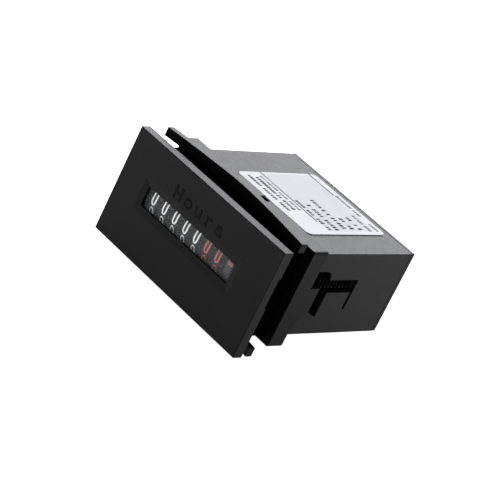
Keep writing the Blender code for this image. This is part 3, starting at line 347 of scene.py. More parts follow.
WHITE_PRINT = Finish(
    "white_digit_print", (0.77, 0.77, 0.76), 0.5, texture=Texture.PRINT, mottle=0.03
)
RED_PRINT = replace(WHITE_PRINT, name="red_digit_print", colour=(0.4, 0.064, 0.056), mottle=0.06)
INDICATOR_PRINT = replace(
    WHITE_PRINT, name="indicator_print", colour=(0.19, 0.062, 0.062), mottle=0.1
)
WORD_INK = Finish(
    "engraved_word", (0.0013, 0.0013, 0.0015), 0.65, specular=0.055, texture=Texture.PRINT
)
FRAME = Finish("movement_frame_plastic", (0.006, 0.006, 0.0065), 0.55, specular=0.15, grain=0.3)
NYLON = Finish("natural_nylon", (0.7, 0.67, 0.58), 0.4, grain=0.4)
STEEL = Finish("bright_steel", (0.6, 0.6, 0.58), 0.22, 1.0, texture=Texture.DRAWN, grain=0.08)
TIN = Finish("tinned_brass", (0.72, 0.7, 0.66), 0.28, 1.0, texture=Texture.ROLLED, grain=0.12)
IRON = Finish("stator_iron", (0.36, 0.35, 0.34), 0.4, 1.0, texture=Texture.ROLLED, grain=0.15)
FERRITE = Finish("magnet_ferrite", (0.05, 0.05, 0.052), 0.65, grain=0.1, depth=0.01)
COPPER = replace(
    IRON, name="enamelled_copper", colour=(0.7, 0.27, 0.12), roughness=0.3, grain=0.1
)
BOARD = Finish("board_laminate", (0.02, 0.13, 0.05), 0.42, texture=Texture.WOVEN, grain=0.5)
RESIN = Finish("capacitor_resin", (0.55, 0.3, 0.04), 0.35, grain=0.6)
SLEEVE = Finish("capacitor_sleeve", (0.02, 0.035, 0.12), 0.35, grain=0.5)
EPOXY = Finish("chip_epoxy", (0.012, 0.012, 0.012), 0.55, grain=0.1)
SOLDER = Finish("solder", (0.68, 0.68, 0.7), 0.25, 1.0, grain=0.3)
FLOOR = Finish(
    "studio_floor", (0.4, 0.4, 0.4), 0.9, specular=0.0, texture=Texture.FLOOR, mottle=0.0,
    glow=1.0, glow_far=2.0,
)

# Each finish and how its nodes' names begin.
NODE_FINISHES: tuple[tuple[Finish | str, ...], ...] = (
    (BEZEL, "housing", "rear_cover"),
    (CLAMP, "clamp_frame"),
    (PANE, "window_pane"),
    (FILM, "rating_label"),
    (TIN, "terminal_"),
    (WHEEL, "number_wheel_", "indicator_wheel"),
    (FRAME, "movement_frame"),
    (NYLON, "transfer_pinion_", "drive_gear", "reduction_gear", "coil_bobbin"),
    (STEEL, "wheel_shaft", "pinion_shaft", "reduction_pin", "rotor_arbor", "quartz_crystal"),
    (FERRITE, "rotor_magnet"),
    (IRON, "stator_plate", "coil_core"),
    (COPPER, "coil_winding"),
    (BOARD, "circuit_board"),
    (RESIN, "film_capacitor"),
    (SLEEVE, "electrolytic_capacitor"),
    (EPOXY, "driver_chip"),
)
ROUNDED_NODES: dict[str, float] = {
    "housing": 0.08 * MM,
    "clamp_frame": 0.16 * MM,
    "rear_cover": 0.12 * MM,
    "terminal_left": 0.08 * MM,
    "terminal_right": 0.08 * MM,
}


@dataclass(frozen=True)
class Placement:
    """Where the instrument's own coordinates lie in the frame.

    Attributes:
        front: Y of the front face.
        middle: Z of the bezel's middle.
    """

    front: float
    middle: float

    def point(self, x: float, depth: float, height: float) -> Vector:
        """Turns instrument coordinates into frame coordinates."""
        return Vector((x, self.front + depth, self.middle + height))

    @classmethod
    def of_frame(cls) -> "Placement":
        """Reads the placement from the housing, whose bezel is 28 mm high and starts at depth 0."""
        low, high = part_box("housing")
        return cls(low.y, (low.z + high.z) / 2)


def add_object(name: str, data: bpy.types.ID) -> Object:
    """Makes an object of a mesh, curve, camera or light and links it to the scene."""
    made = bpy.data.objects.new(name, data)
    bpy.context.scene.collection.objects.link(made)
    return made


def plain_mesh(source: Object) -> Mesh:
    """The mesh that an object's curve or modifiers make."""
    graph = bpy.context.evaluated_depsgraph_get()
    return bpy.data.meshes.new_from_object(source.evaluated_get(graph))


class MeshWriter:
    """Collects faces in frame coordinates and makes one object of them."""

    SAME_POINT = 1e-7
    SHARP_EDGE = math.radians(35.0)

    def __init__(self) -> None:
        self.work = bmesh.new()

    def polygon(self, points: Sequence[Vector]) -> None:
        """Adds one flat face."""
        self.work.faces.new([self.work.verts.new(point) for point in points])

    def prism(self, points: Sequence[Vector], shift: Vector) -> None:
        """Adds a closed prism: the outline, its copy moved by shift, and the sides.

        Args:
            points: The outline.
            shift: The way to the other end.
        """
        far = [Vector(point) + shift for point in points]
        self.polygon(points)
        self.polygon(far)
        self.surface([points, far], closed=True)

    def surface(self, rows: Sequence[Sequence[Vector]], closed: bool = False) -> None:
        """Adds a grid of faces through rows of points.

        Args:
            rows: Rows of equally many points.
            closed: Whether each row's end meets its start.
        """
        grid = [[self.work.verts.new(point) for point in row] for row in rows]
        count = len(grid[0])
        for low, high in zip(grid, grid[1:]):
            for i in range(count if closed else count - 1):
                j = (i + 1) % count
                self.work.faces.new((low[i], low[j], high[j], high[i]))

    def build(self, name: str, finish: Finish, smooth: bool = False) -> Object:
        """Makes the object, its faces turned outward.

        Args:
            name: The piece's name.
            finish: Its surface.
            smooth: Whether it is shaded smooth.

        Returns:
            The new object, linked to the scene.
        """
        bmesh.ops.remove_doubles(self.work, verts=self.work.verts, dist=self.SAME_POINT)
        bmesh.ops.recalc_face_normals(self.work, faces=self.work.faces)
        mesh = bpy.data.meshes.new(name)
        self.work.to_mesh(mesh)
        self.work.free()
        mesh.materials.append(finish.material())
        if smooth:
            mesh.shade_smooth()
            mesh.set_sharp_from_angle(angle=self.SHARP_EDGE)
        return add_object(name, mesh)


class RepeatGroup:
    """A Geometry Nodes group that repeats one piece along a step, with a turn and a random size.

    Turn is the angle from copy to copy, and the sizes lie between Smallest and Largest.
    """

    NAME = "repeat_piece"
    INPUTS: dict[str, str] = {
        "Piece": "NodeSocketObject",
        "Count": "NodeSocketInt",
        "Step": "NodeSocketVector",
        "Turn": "NodeSocketVector",
        "Smallest": "NodeSocketVector",
        "Largest": "NodeSocketVector",
        "Seed": "NodeSocketInt",
        "Finish": "NodeSocketMaterial",
    }

    def __init__(self) -> None:
        self.tree = bpy.data.node_groups.get(self.NAME) or self.build()

    def build(self) -> bpy.types.NodeTree:
        """Builds the group.

        Returns:
            The node tree.
        """
        tree = bpy.data.node_groups.new(self.NAME, "GeometryNodeTree")
        for name, kind in self.INPUTS.items():
            tree.interface.new_socket(name, in_out="INPUT", socket_type=kind)
        tree.interface.new_socket("Geometry", in_out="OUTPUT", socket_type="NodeSocketGeometry")
        node = partial(add_node, tree)
        given = node("NodeGroupInput", {}).outputs
        line = node("GeometryNodeMeshLine", {"Count": given["Count"], "Offset": given["Step"]})
        piece = node("GeometryNodeObjectInfo", {"Object": given["Piece"]})
        index = node("GeometryNodeInputIndex", {}).outputs[0]
        turn = node("ShaderNodeVectorMath", {0: given["Turn"], "Scale": index}, operation="SCALE")
        limits = {"Min": given["Smallest"], "Max": given["Largest"], "Seed": given["Seed"]}
        size = node("FunctionNodeRandomValue", limits, data_type="FLOAT_VECTOR")
        spread = {
            "Points": line.outputs["Mesh"],
            "Instance": piece.outputs["Geometry"],
            "Rotation": turn.outputs["Vector"],
            "Scale": size.outputs[0],
        }
        copies = node("GeometryNodeInstanceOnPoints", spread).outputs["Instances"]
        real = node("GeometryNodeRealizeInstances", {"Geometry": copies}).outputs["Geometry"]
        dressed = node("GeometryNodeSetMaterial", {"Geometry": real, "Material": given["Finish"]})
        node("NodeGroupOutput", {"Geometry": dressed.outputs["Geometry"]})
        return tree

    def make(
        self, name: str, piece: Object, finish: Finish, place: Matrix, **values: object
    ) -> Object:
        """Repeats a piece and returns the copies as one plain mesh object.

        Args:
            name: Name of the made piece.
            piece: The object to repeat, at the origin. It is removed afterwards.
            finish: The surface of all copies.
            place: Where the first copy goes.
            values: The group's other inputs, by name in lower case.

        Returns:
            The made object, at the origin, its place in its mesh.
        """
        carrier = add_object(name + "_carrier", bpy.data.meshes.new(name + "_carrier"))
        modifier = carrier.modifiers.new("repeat", "NODES")
        modifier.node_group = self.tree
        given = {
            "Count": 1,
            "Step": ZEROS,
            "Turn": ZEROS,
            "Smallest": ONES,
            "Largest": ONES,
            "Seed": 1,
            **{key.capitalize(): value for key, value in values.items()},
            "Piece": piece,
            "Finish": finish.material(),
        }
        for item in self.tree.interface.items_tree:
            if item.in_out == "INPUT":
                modifier[item.identifier] = given[item.name]
        bpy.context.view_layer.update()
        mesh = plain_mesh(carrier)
        mesh.name = name
        mesh.transform(place)
        bpy.data.objects.remove(carrier)
        bpy.data.objects.remove(piece)
        return add_object(name, mesh)


class StrokeFont:
    """Digits and a few letters as single strokes, each in a box from (0, 0) to (1, 1).

    ROUND_END is a pill's, in half widths, and THICKNESS a ribbon's, in widths.
    """

    ROUND_END = 0.5
    THICKNESS = 0.06
    SAME_POINT = 1e-6

    @staticmethod
    def arc(centre: Point, radius: Point, start: float, end: float, count: int = 8) -> list[Point]:
        """Points along an elliptical arc, angles in degrees."""
        points = []
        for i in range(count + 1):
            angle = math.radians(start + (end - start) * i / count)
            across, up = radius[0] * math.cos(angle), radius[1] * math.sin(angle)
            points.append((centre[0] + across, centre[1] + up))
        return points

    @classmethod
    def ring(cls, radius: float, count: int, centre: Point = (0.0, 0.0)) -> list[Point]:
        """The corners of a regular polygon."""
        return cls.arc(centre, (radius, radius), 0.0, 360.0, count)[:-1]

    @classmethod
    def pill(cls, low: float, high: float, left: float = 0.0, right: float = 1.0) -> list[Point]:
        """A closed upright oval with straight sides, for 0, 6, 8 and 9."""
        middle, half = (left + right) / 2, (right - left) / 2
        rise = min(half * cls.ROUND_END, (high - low) / 2)
        top = cls.arc((middle, high - rise), (half, rise), 0.0, 180.0)
        bottom = cls.arc((middle, low + rise), (half, rise), 180.0, 360.0)
        return top + bottom + top[:1]

    @staticmethod
    def in_short_steps(line: Sequence[Point], longest: float = 0.09) -> list[Point]:
        """Cuts a line's long steps up, so that it can be bent round a wheel."""
        points = [line[0]]
        for start, end in zip(line, line[1:]):
            count = max(1, math.ceil(math.dist(start, end) / longest))
            for i in range(1, count + 1):
                points.append(tuple(a + (b - a) * i / count for a, b in zip(start, end)))
        return points

    @classmethod
    def glyph(cls, character: str) -> list[list[Point]]:
        """The strokes of one character.

        Args:
            character: A digit, or one of H, o, u, r and s.

        Returns:
            Open or closed lines of points.
        """
        arc = cls.arc
        shapes: dict[str, list[list[Point]]] = {
            "0": [cls.pill(0.0, 1.0)],
            "1": [[(0.2, 0.8), (0.55, 1.0), (0.55, 0.0)]],
            "2": [arc((0.5, 0.75), (0.5, 0.25), 170.0, -30.0) + [(0.0, 0.0), (1.0, 0.0)]],
            "3": [
                arc((0.5, 0.77), (0.48, 0.23), 150.0, -90.0)[:-1]
                + arc((0.5, 0.27), (0.5, 0.27), 90.0, -150.0)
            ],
            "4": [[(0.75, 0.0), (0.75, 1.0), (0.0, 0.3), (1.0, 0.3)]],
            "5": [
                [(0.95, 1.0), (0.1, 1.0), (0.05, 0.58)]
                + arc((0.48, 0.32), (0.5, 0.32), 110.0, -150.0)
            ],
            "6": [cls.pill(0.0, 0.58), arc((0.8, 0.4), (0.8, 0.6), 90.0, 180.0)],
            "7": [[(0.0, 1.0), (1.0, 1.0), (0.35, 0.0)]],
            "8": [cls.pill(0.0, 0.52), cls.pill(0.52, 1.0, 0.06, 0.94)],
            "9": [cls.pill(0.42, 1.0), arc((0.2, 0.6), (0.8, 0.6), -90.0, 0.0)],
            "H": [
                *([(x, 0.0), (x, 1.0)] for x in (0.15, 0.85)),
                [(0.15, 0.5), (0.85, 0.5)],
                *([(x, y), (x + 0.32, y)] for y in (0.0, 1.0) for x in (0.0, 0.68)),
            ],
            "o": [arc((0.5, 0.35), (0.42, 0.35), 0.0, 360.0, 20)],
            "u": [
                [(0.02, 0.68), (0.2, 0.68), (0.2, 0.25)]
                + arc((0.45, 0.22), (0.25, 0.22), 180.0, 330.0),
                [(0.62, 0.68), (0.8, 0.68), (0.8, 0.0), (0.98, 0.0)],
            ],
            "r": [
                [(0.1, 0.68), (0.32, 0.68), (0.32, 0.0)],
                [(0.1, 0.0), (0.6, 0.0)],
                arc((0.68, 0.42), (0.36, 0.26), 180.0, 50.0),
            ],
            "s": [
                arc((0.5, 0.52), (0.36, 0.17), 20.0, 270.0)[:-1]
                + arc((0.5, 0.18), (0.4, 0.17), 90.0, -160.0),
            ],
        }
        return shapes[character]

    @classmethod
    def flat(cls, name: str, character: str, size: Point, stroke: float) -> Mesh:
        """Makes one character as flat ribbons with a slightly domed face.

        Args:
            name: The mesh's name.
            character: What to draw.
            size: Width and height, stroke included.
            stroke: Line width.

        Returns:
            A mesh in x (across) and z (up), centred on the origin, its thickness along y.
        """
        curve = bpy.data.curves.new(name, "CURVE")
        curve.dimensions = "3D"
        curve.bevel_depth = stroke / 2 / MM
        curve.bevel_resolution = 1
        curve.use_fill_caps = True
        width, height = size[0] - stroke, size[1] - stroke
        for line in cls.glyph(character):
            closed = math.dist(line[0], line[-1]) < cls.SAME_POINT
            points = cls.in_short_steps(line)
            points = points[:-1] if closed else points
            spline = curve.splines.new("POLY")
            spline.points.add(len(points) - 1)
            spline.use_cyclic_u = closed
            for target, (u, v) in zip(spline.points, points):
                target.co = ((u - 0.5) * width / MM, 0.0, (v - 0.5) * height / MM, 1.0)
        holder = add_object(name, curve)
        mesh = plain_mesh(holder)
        bpy.data.objects.remove(holder)
        bpy.data.curves.remove(curve)
        mesh.transform(Matrix.Diagonal((MM, MM * cls.THICKNESS, MM, 1.0)))
        return mesh


@dataclass
class DigitWheel:
    """The printed band of one number wheel.

    Attributes:
        node: The solid's name.
        body: The body that it rides on.
        ink: Colour of the digits.
        digit: Width and height of a digit.
        stroke: Line width of a digit.
        shown: The digit that faces the front.
        lead: How far above the axis the shown digit's middle stands.
        band: The band's left and right edge, from the solid's middle.
        radius: The solid's radius.
        skin: How far the band stands off the solid.
        rim: Width of the softened rims.
        rim_depth: How far the band's sides reach inward, in rims.
        segments: Faces round the band.
        digits: How many digits there are.
    """

    node: str
    body: str
    ink: Finish
    digit: Point = (1.55 * MM, 4.3 * MM)
    stroke: float = 0.44 * MM
    shown: int = 0
    lead: float = 0.71 * MM
    band: Point = (-1.14 * MM, 0.89 * MM)
    radius: float = 7.5 * MM
    skin: float = 0.03 * MM
    rim: float = 0.12 * MM
    rim_depth: int = 4
    segments: int = 120
    digits: int = 10

    def __post_init__(self) -> None:
        """Reads the wheel's middle from its solid."""
        low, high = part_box(self.node)
        self.centre = (low + high) / 2
        self.outer = self.radius + self.skin
        self.across = (self.band[0] + self.band[1]) / 2

    def around(self, x: float, reach: float, angle: float) -> Vector:
        """A point beside the wheel's middle by x, out by reach, turned up from the front."""
        return self.centre + Vector((x, -reach * math.cos(angle), reach * math.sin(angle)))

    def make_band(self) -> Object:
        """A smooth sleeve over the solid's flat facets, with softened rims."""
        writer = MeshWriter()
        (low, high), outer, rim = self.band, self.outer, self.rim
        profile = [(low, outer - rim), (low + rim, outer), (high - rim, outer), (high, outer - rim)]
        inner = outer - self.rim_depth * rim
        profile += [(high, inner), (low, inner), profile[0]]
        rows = [
            [self.around(x, out, 2 * math.pi * i / self.segments) for i in range(self.segments)]
            for x, out in profile
        ]
        writer.surface(rows, closed=True)
        made = writer.build(self.node + "_band", WHEEL, smooth=True)
        return made

    def print_mesh(self, number: int) -> Mesh:
        """One digit's print, bent round the band at its place."""
        mesh = StrokeFont.flat(f"{self.node}_digit_{number}", str(number), self.digit, self.stroke)
        pitch = 2 * math.pi * self.radius / self.digits
        middle = self.lead + (number - self.shown) % self.digits * pitch
        for vertex in mesh.vertices:
            x, out, along = vertex.co
            angle = (along + middle) / self.radius
            vertex.co = self.around(x + self.across, self.outer - out, angle)
        return mesh

    def make_prints(self) -> Object:
        """All ten digits as one piece."""
        meshes = [self.print_mesh(number) for number in range(self.digits)]
        return join_meshes(self.node + "_digits", meshes, self.ink)

    def build(self) -> None:
        """Makes the band and its print and lets both ride on the wheel's body."""
        for made in (self.make_band(), self.make_prints()):
            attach(made, self.body)


@dataclass
class Indicator(DigitWheel):
    """The running indicator: short dashes, evenly spaced round the wheel.

    Attributes:
        dash: Width and height of a dash.
        dash_height: How far above the axis the first dash's middle stands.
        dash_proud: Thickness of a dash.
        dashes: How many dashes there are.
    """

    dash: Point = (1.7 * MM, 0.75 * MM)
    dash_height: float = 0.97 * MM
    dash_proud: float = 0.012 * MM
    dashes: int = 5

    def make_prints(self) -> Object:
        """The dashes, repeated round the axis."""
        writer = MeshWriter()
        width, height = self.dash
        points = [
            Vector((self.across + u * width / 2, -self.outer, v * height / 2)) for u, v in CORNERS
        ]
        writer.prism(points, Vector((0.0, -self.dash_proud, 0.0)))
        lift = Matrix.Rotation(-math.asin(self.dash_height / self.radius), 4, "X")
        return RepeatGroup().make(
            self.node + "_dashes",
            writer.build("dash", self.ink),
            self.ink,
            Matrix.Translation(self.centre) @ lift,
            count=self.dashes,
            turn=(2 * math.pi / self.dashes, 0.0, 0.0),
        )


@dataclass
class CoilTurns:
    """The outer layer of the motor's winding, turn by turn.

    Attributes:
        node: The winding's solid.
        wire: Radius of the drawn wire.
        proud: How far a turn stands out of the solid.
        corner: Radius of the turn at the bobbin's corners.
        corner_steps: Steps round such a corner.
        sides: Sides of the wire's section.
        spacing: From turn to turn, in wire radii.
    """

    node: str = "coil_winding"
    wire: float = 0.11 * MM
    proud: float = 0.05 * MM
    corner: float = 0.5 * MM
    corner_steps: int = 3
    sides: int = 6
    spacing: float = 2.1

    def turn(self, half_x: float, half_y: float) -> Object:
        """One turn about the origin, lying flat."""
        corners = ((1, 1, 0.0), (-1, 1, 90.0), (-1, -1, 180.0), (1, -1, 270.0))
        section = StrokeFont.ring(self.wire, self.sides)
        rows = []
        for u, v, start in corners:
            middle = Vector((u * (half_x - self.corner), v * (half_y - self.corner), 0.0))
            for cosine, sine in StrokeFont.arc(ZEROS, ONES, start, start + 90.0, self.corner_steps):
                out = Vector((cosine, sine, 0.0))
                centre = middle + out * self.corner
                rows.append([centre + out * a + Vector((0.0, 0.0, b)) for a, b in section])
        writer = MeshWriter()
        writer.surface(rows + rows[:1], closed=True)
        return writer.build("turn", COPPER, smooth=True)

    def build(self) -> None:
        """Stacks the turns along the core and lets them ride on the case."""
        low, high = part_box(self.node)
        half = (high - low) / 2 - Vector((1.0, 1.0, 0.0)) * (self.wire - self.proud)
        pitch = self.spacing * self.wire
        count = int((high.z - low.z - 2 * self.wire) / pitch) + 1
        middle = (low + high) / 2
        first = Vector((middle.x, middle.y, middle.z - pitch * (count - 1) / 2))
        made = RepeatGroup().make(
            self.node + "_turns",
            self.turn(half.x, half.y),
            COPPER,
            Matrix.Translation(first),
            count=count,
            step=(0.0, 0.0, pitch),
        )
        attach(made, "case")


@dataclass
class BoardDetails:
    """Solder behind the board, and what is printed or crimped on its parts.

    Attributes:
        leads: Each part on leads and half the distance between its two leads.
        solder: Radius and height of a solder cone.
        cone: The cone's profile, in shares of both.
        sides: Sides of a cone and of a disc.
        stripe: Where the sleeve's stripe starts and ends, in degrees.
        stripe_steps: Steps across the stripe.
        stripe_inset: The bare end in front of the stripe, twice the one behind it.
        can: Radius of the disc on the can's end.
        mark: Radius of the chip's mark and its place from the chip's middle, along x and z.
        lift: How far a print stands off its solid.
    """

    leads: tuple[tuple[str, float], ...] = (
        ("film_capacitor", 5.0 * MM),
        ("electrolytic_capacitor", 1.75 * MM),
        ("quartz_crystal", 0.6 * MM),
    )
    solder: Point = (0.75 * MM, 0.6 * MM)
    cone: tuple[Point, ...] = ((1.0, 0.0), (0.6, 0.25), (0.4, 0.7), (0.28, 1.0), (0.0, 1.05))
    sides: tuple[int, int] = (12, 24)
    stripe: Point = (55.0, 95.0)
    stripe_steps: int = 6
    stripe_inset: float = 2.2 * MM
    can: Point3 = (3.1 * MM, 0.0, 0.0)
    mark: Point3 = (0.3 * MM, -1.8 * MM, 0.9 * MM)
    lift: float = 0.02 * MM

    @staticmethod
    def middle(node: str) -> Vector:
        """The middle of a solid's box."""
        low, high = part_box(node)
        return (low + high) / 2

    def solder_joints(self) -> Object:
        """A hollow-sided cone of solder where each lead comes through the board."""
        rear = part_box("circuit_board")[1].y
        radius, height = self.solder
        writer = MeshWriter()
        for node, half in self.leads:
            middle = self.middle(node)
            for side in (-1, 1):
                centre = Vector((middle.x + side * half, rear, middle.z))
                rows = []
                for across, along in self.cone:
                    ring = StrokeFont.ring(radius * across, self.sides[0])
                    rows.append([centre + Vector((u, height * along, v)) for u, v in ring])
                writer.surface(rows, closed=True)
        return writer.build("board_solder", SOLDER, smooth=True)

    def sleeve_stripe(self) -> Object:
        """The pale polarity stripe along the round capacitor."""
        low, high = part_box("electrolytic_capacitor")
        middle, radius = (low + high) / 2, (high.z - low.z) / 2 + self.lift
        ends = (low.y + self.stripe_inset, high.y - self.stripe_inset / 2)
        writer = MeshWriter()
        round_middle = ((middle.x, middle.z), (radius, radius))
        arc = StrokeFont.arc(*round_middle, *self.stripe, self.stripe_steps)
        writer.surface([[Vector((x, y, z)) for x, z in arc] for y in ends])
        return writer.build("capacitor_stripe", WHITE_PRINT, smooth=True)

    def disc(self, name: str, node: str, shape: Point3, finish: Finish) -> Object:
        """A thin disc on the front face of a part.

        Args:
            name: The piece's name.
            node: The solid that carries it.
            shape: The disc's radius and its place from the part's middle, along x and z.
            finish: Its surface.

        Returns:
            The new object.
        """
        middle, front = self.middle(node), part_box(node)[0].y
        radius, x, z = shape
        ring = StrokeFont.ring(radius, self.sides[1], (middle.x + x, middle.z + z))
        writer = MeshWriter()
        writer.prism([Vector((x, front, z)) for x, z in ring], Vector((0.0, -self.lift, 0.0)))
        return writer.build(name, finish)

    def build(self) -> None:
        """Makes all of it and lets it ride on the case."""
        can_end = self.disc("capacitor_end", "electrolytic_capacitor", self.can, TIN)
        pin_mark = self.disc("chip_mark", "driver_chip", self.mark, WHITE_PRINT)
        for made in (self.solder_joints(), self.sleeve_stripe(), can_end, pin_mark):
            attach(made, "case")


def join_meshes(name: str, meshes: Iterable[Mesh], finish: Finish) -> Object:
    """Joins meshes into one shaded object.

    Args:
        name: The piece's name.
        meshes: The meshes to join. They are removed afterwards.
        finish: The surface.

    Returns:
        The new object.
    """
    work = bmesh.new()
    for mesh in meshes:
        work.from_mesh(mesh)
        bpy.data.meshes.remove(mesh)
    joined = bpy.data.meshes.new(name)
    work.to_mesh(joined)
    work.free()
    joined.materials.clear()
    joined.materials.append(finish.material())
    joined.shade_smooth()
    return add_object(name, joined)


@dataclass
class BezelWord:
    """The word above the window, functional lettering only, as a thin print.

    Attributes:
        place: Instrument coordinates.
        text: What it says.
        left: x of the first letter's middle.
        right: x of the last letter's middle.
        height: z of the word's middle.
        letter: Width and height of a letter.
        stroke: Line width.
    """

    place: Placement
    text: str = "Hours"
    left: float = -7.85 * MM
    right: float = 7.2 * MM
    height: float = 7.45 * MM
    letter: Point = (3.6 * MM, 3.6 * MM)
    stroke: float = 0.8 * MM

    def build(self) -> None:
        """Makes the word just over the front face and lets it ride on the case."""
        pitch = (self.right - self.left) / (len(self.text) - 1)
        meshes = []
        for number, character in enumerate(self.text):
            mesh = StrokeFont.flat("letter", character, self.letter, self.stroke)
            spot = self.place.point(self.left + number * pitch, 0.0, self.height)
            mesh.transform(Matrix.Translation(spot))
            meshes.append(mesh)
        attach(join_meshes("bezel_word", meshes, WORD_INK), "case")


@dataclass(frozen=True)
class PrintedLine:
    """One line of the label's print, in millimetres of the instrument's coordinates.

    Its words are bars only, and nothing can be read in them.

    Attributes:
        depth: Where its middle lies behind the front face.
        size: Height of its letters.
        words: x of each word's two ends.
        ink: Its colour.
    """

    depth: float
    size: float
    words: tuple[Point, ...]
    ink: Finish = LABEL_INK


LABEL_LINES = tuple(
    PrintedLine(*row)
    for row in (
        (24.2, 1.15, ((-11.0, -5.9), (-5.2, 0.3), (0.9, 4.6))),
        (26.35, 1.3, ((-10.2, -3.0), (-2.4, -0.7), (0.0, 4.5))),
        (28.2, 1.05, ((-10.7, -4.2), (-3.7, -0.3), (0.3, 4.5)), FAINT_INK),
        (30.95, 1.35, ((-0.2, 3.0), (4.0, 6.7), (7.6, 10.3), (11.0, 12.4))),
        (33.5, 1.5, ((1.6, 2.4), (3.5, 7.2), (8.1, 12.5))),
        (36.8, 1.5, ((-0.6, 2.8), (3.7, 4.5), (5.4, 6.8), (7.1, 8.8), (9.3, 12.6))),
        (39.5, 1.5, ((7.3, 9.7), (10.4, 12.7))),
        (42.4, 1.5, ((6.8, 9.2), (9.9, 10.8), (11.6, 12.8))),
        (45.5, 1.3, ((6.0, 10.0), (10.6, 12.9)), FAINT_INK),
        (48.1, 1.1, ((-2.6, 3.1), (3.7, 6.8), (9.6, 12.9)), FAINT_INK),
    )
)
# The label's rules in millimetres: x of both ends and the depth of the front side.
LABEL_RULES = ((-12.4, 9.0, 29.4), (-12.4, -2.8, 47.2))
SEEDS_PER_LINE = 7


@dataclass
class LabelPrint:
    """The rating label's print as plain bars, rules and a tinted zone, with no words or marks.

    Attributes:
        place: Instrument coordinates.
        x_span: The label's sides.
        zone_span: Depths of the tinted zone's front and rear edge.
        top: Height of its face.
        ink: Thickness of the print.
        margin: White border left of the tinted zone, half of the one right of it.
        rule: Width of a rule.
        letter_pitch: Distance from bar to bar for a bar of height 1.
        half_bar: Half a bar's greatest width in pitches.
        smallest: The least size of a bar in shares of the greatest.
        repeat: The group that sets the bars.
    """

    place: Placement
    x_span: Point = (-12.45 * MM, 14.45 * MM)
    zone_span: Point = (30.2 * MM, 47.0 * MM)
    top: float = 11.28 * MM
    ink: float = 0.006 * MM
    margin: float = 0.7 * MM
    rule: float = 0.55 * MM
    letter_pitch: float = 0.64
    half_bar: float = 0.43
    smallest: Point3 = (0.6, 0.7, 1.0)
    repeat: RepeatGroup = field(default_factory=RepeatGroup)

    def rectangle(self, writer: MeshWriter, x: Point, y: Point, lift: float = 0.0) -> None:
        """Adds a thin printed rectangle between the given limits."""
        corners = ((x[0], y[0]), (x[1], y[0]), (x[1], y[1]), (x[0], y[1]))
        points = [self.place.point(u, v, self.top + lift) for u, v in corners]
        writer.prism(points, Vector((0.0, 0.0, self.ink)))

    def zone(self) -> Object:
        """The slightly greyer middle of the label, inside a white margin."""
        writer = MeshWriter()
        left, right = self.x_span[0] + self.margin, self.x_span[1] - 2 * self.margin
        self.rectangle(writer, (left, right), self.zone_span)
        return writer.build("label_zone", FILM_GREY)

    def rules(self) -> Object:
        """The two thin rules across the label."""
        writer = MeshWriter()
        for left, right, depth in LABEL_RULES:
            front = depth * MM
            self.rectangle(writer, (left * MM, right * MM), (front, front + self.rule), self.ink)
        return writer.build("label_rules", FAINT_INK)

    def word(self, line: PrintedLine, span: Point, seed: int) -> Mesh:
        """A word's worth of small upright bars.

        Args:
            line: The line it stands in.
            span: x of its two ends, in millimetres.
            seed: Seed of the random bar sizes.

        Returns:
            The bars as one mesh.
        """
        left, right = span[0] * MM, span[1] * MM
        height = line.size * MM
        pitch = height * self.letter_pitch
        half_x, half_y = pitch * self.half_bar, height / 2
        writer = MeshWriter()
        points = [Vector((u * half_x, v * half_y, 0.0)) for u, v in CORNERS]
        writer.prism(points, Vector((0.0, 0.0, self.ink)))
        origin = self.place.point(left + pitch / 2, line.depth * MM, self.top + self.ink)
        made = self.repeat.make(
            "word",
            writer.build("bar", line.ink),
            line.ink,
            Matrix.Translation(origin),
            count=max(1, round((right - left) / pitch)),
            step=(pitch, 0.0, 0.0),
            smallest=self.smallest,
            seed=seed,
        )
        mesh = made.data
        bpy.data.objects.remove(made)
        return mesh

    def build(self) -> None:
        """Makes all prints and lets them ride on the case."""
        made = [self.zone(), self.rules()]
        for number, line in enumerate(LABEL_LINES):
            words = [
                self.word(line, span, SEEDS_PER_LINE * number + i)
                for i, span in enumerate(line.words)
            ]
            made.append(join_meshes(f"label_row_{number + 1}", words, line.ink))
        for piece in made:
            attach(piece, "case")


class SolidDress:
    """Gives the solids their finishes, and softens the moulded pieces' edges."""

    SAME_POINT = 0.002 * MM
    SAME_PLANE = math.radians(0.5)
    SHARP_EDGE = math.radians(40.0)
    SEGMENTS = 2

    def __init__(self, nodes: dict[str, Object]) -> None:
        self.nodes = nodes

    @staticmethod
    def finish_of(name: str) -> Finish:
        """The finish of a node."""
        return next(finish for finish, *starts in NODE_FINISHES if name.startswith(tuple(starts)))

    def round_edges(self, node: Object, width: float) -> None:
        """Rounds a node's sharp edges with modifiers, which leave its own mesh as it is."""
        weld = node.modifiers.new("weld", "WELD")
        weld.merge_threshold = self.SAME_POINT
        flat = node.modifiers.new("flat_faces", "DECIMATE")
        flat.decimate_type = "DISSOLVE"
        flat.angle_limit = self.SAME_PLANE
        bevel = node.modifiers.new("soft_edges", "BEVEL")
        bevel.width = width
        bevel.segments = self.SEGMENTS
        bevel.limit_method = "ANGLE"
        bevel.angle_limit = self.SHARP_EDGE
        bevel.harden_normals = True

    def build(self) -> None:
        """Dresses every node."""
        for name, node in self.nodes.items():
            node.data.materials.clear()
            node.data.materials.append(self.finish_of(name).material())
            if name in ROUNDED_NODES:
                self.round_edges(node, ROUNDED_NODES[name])


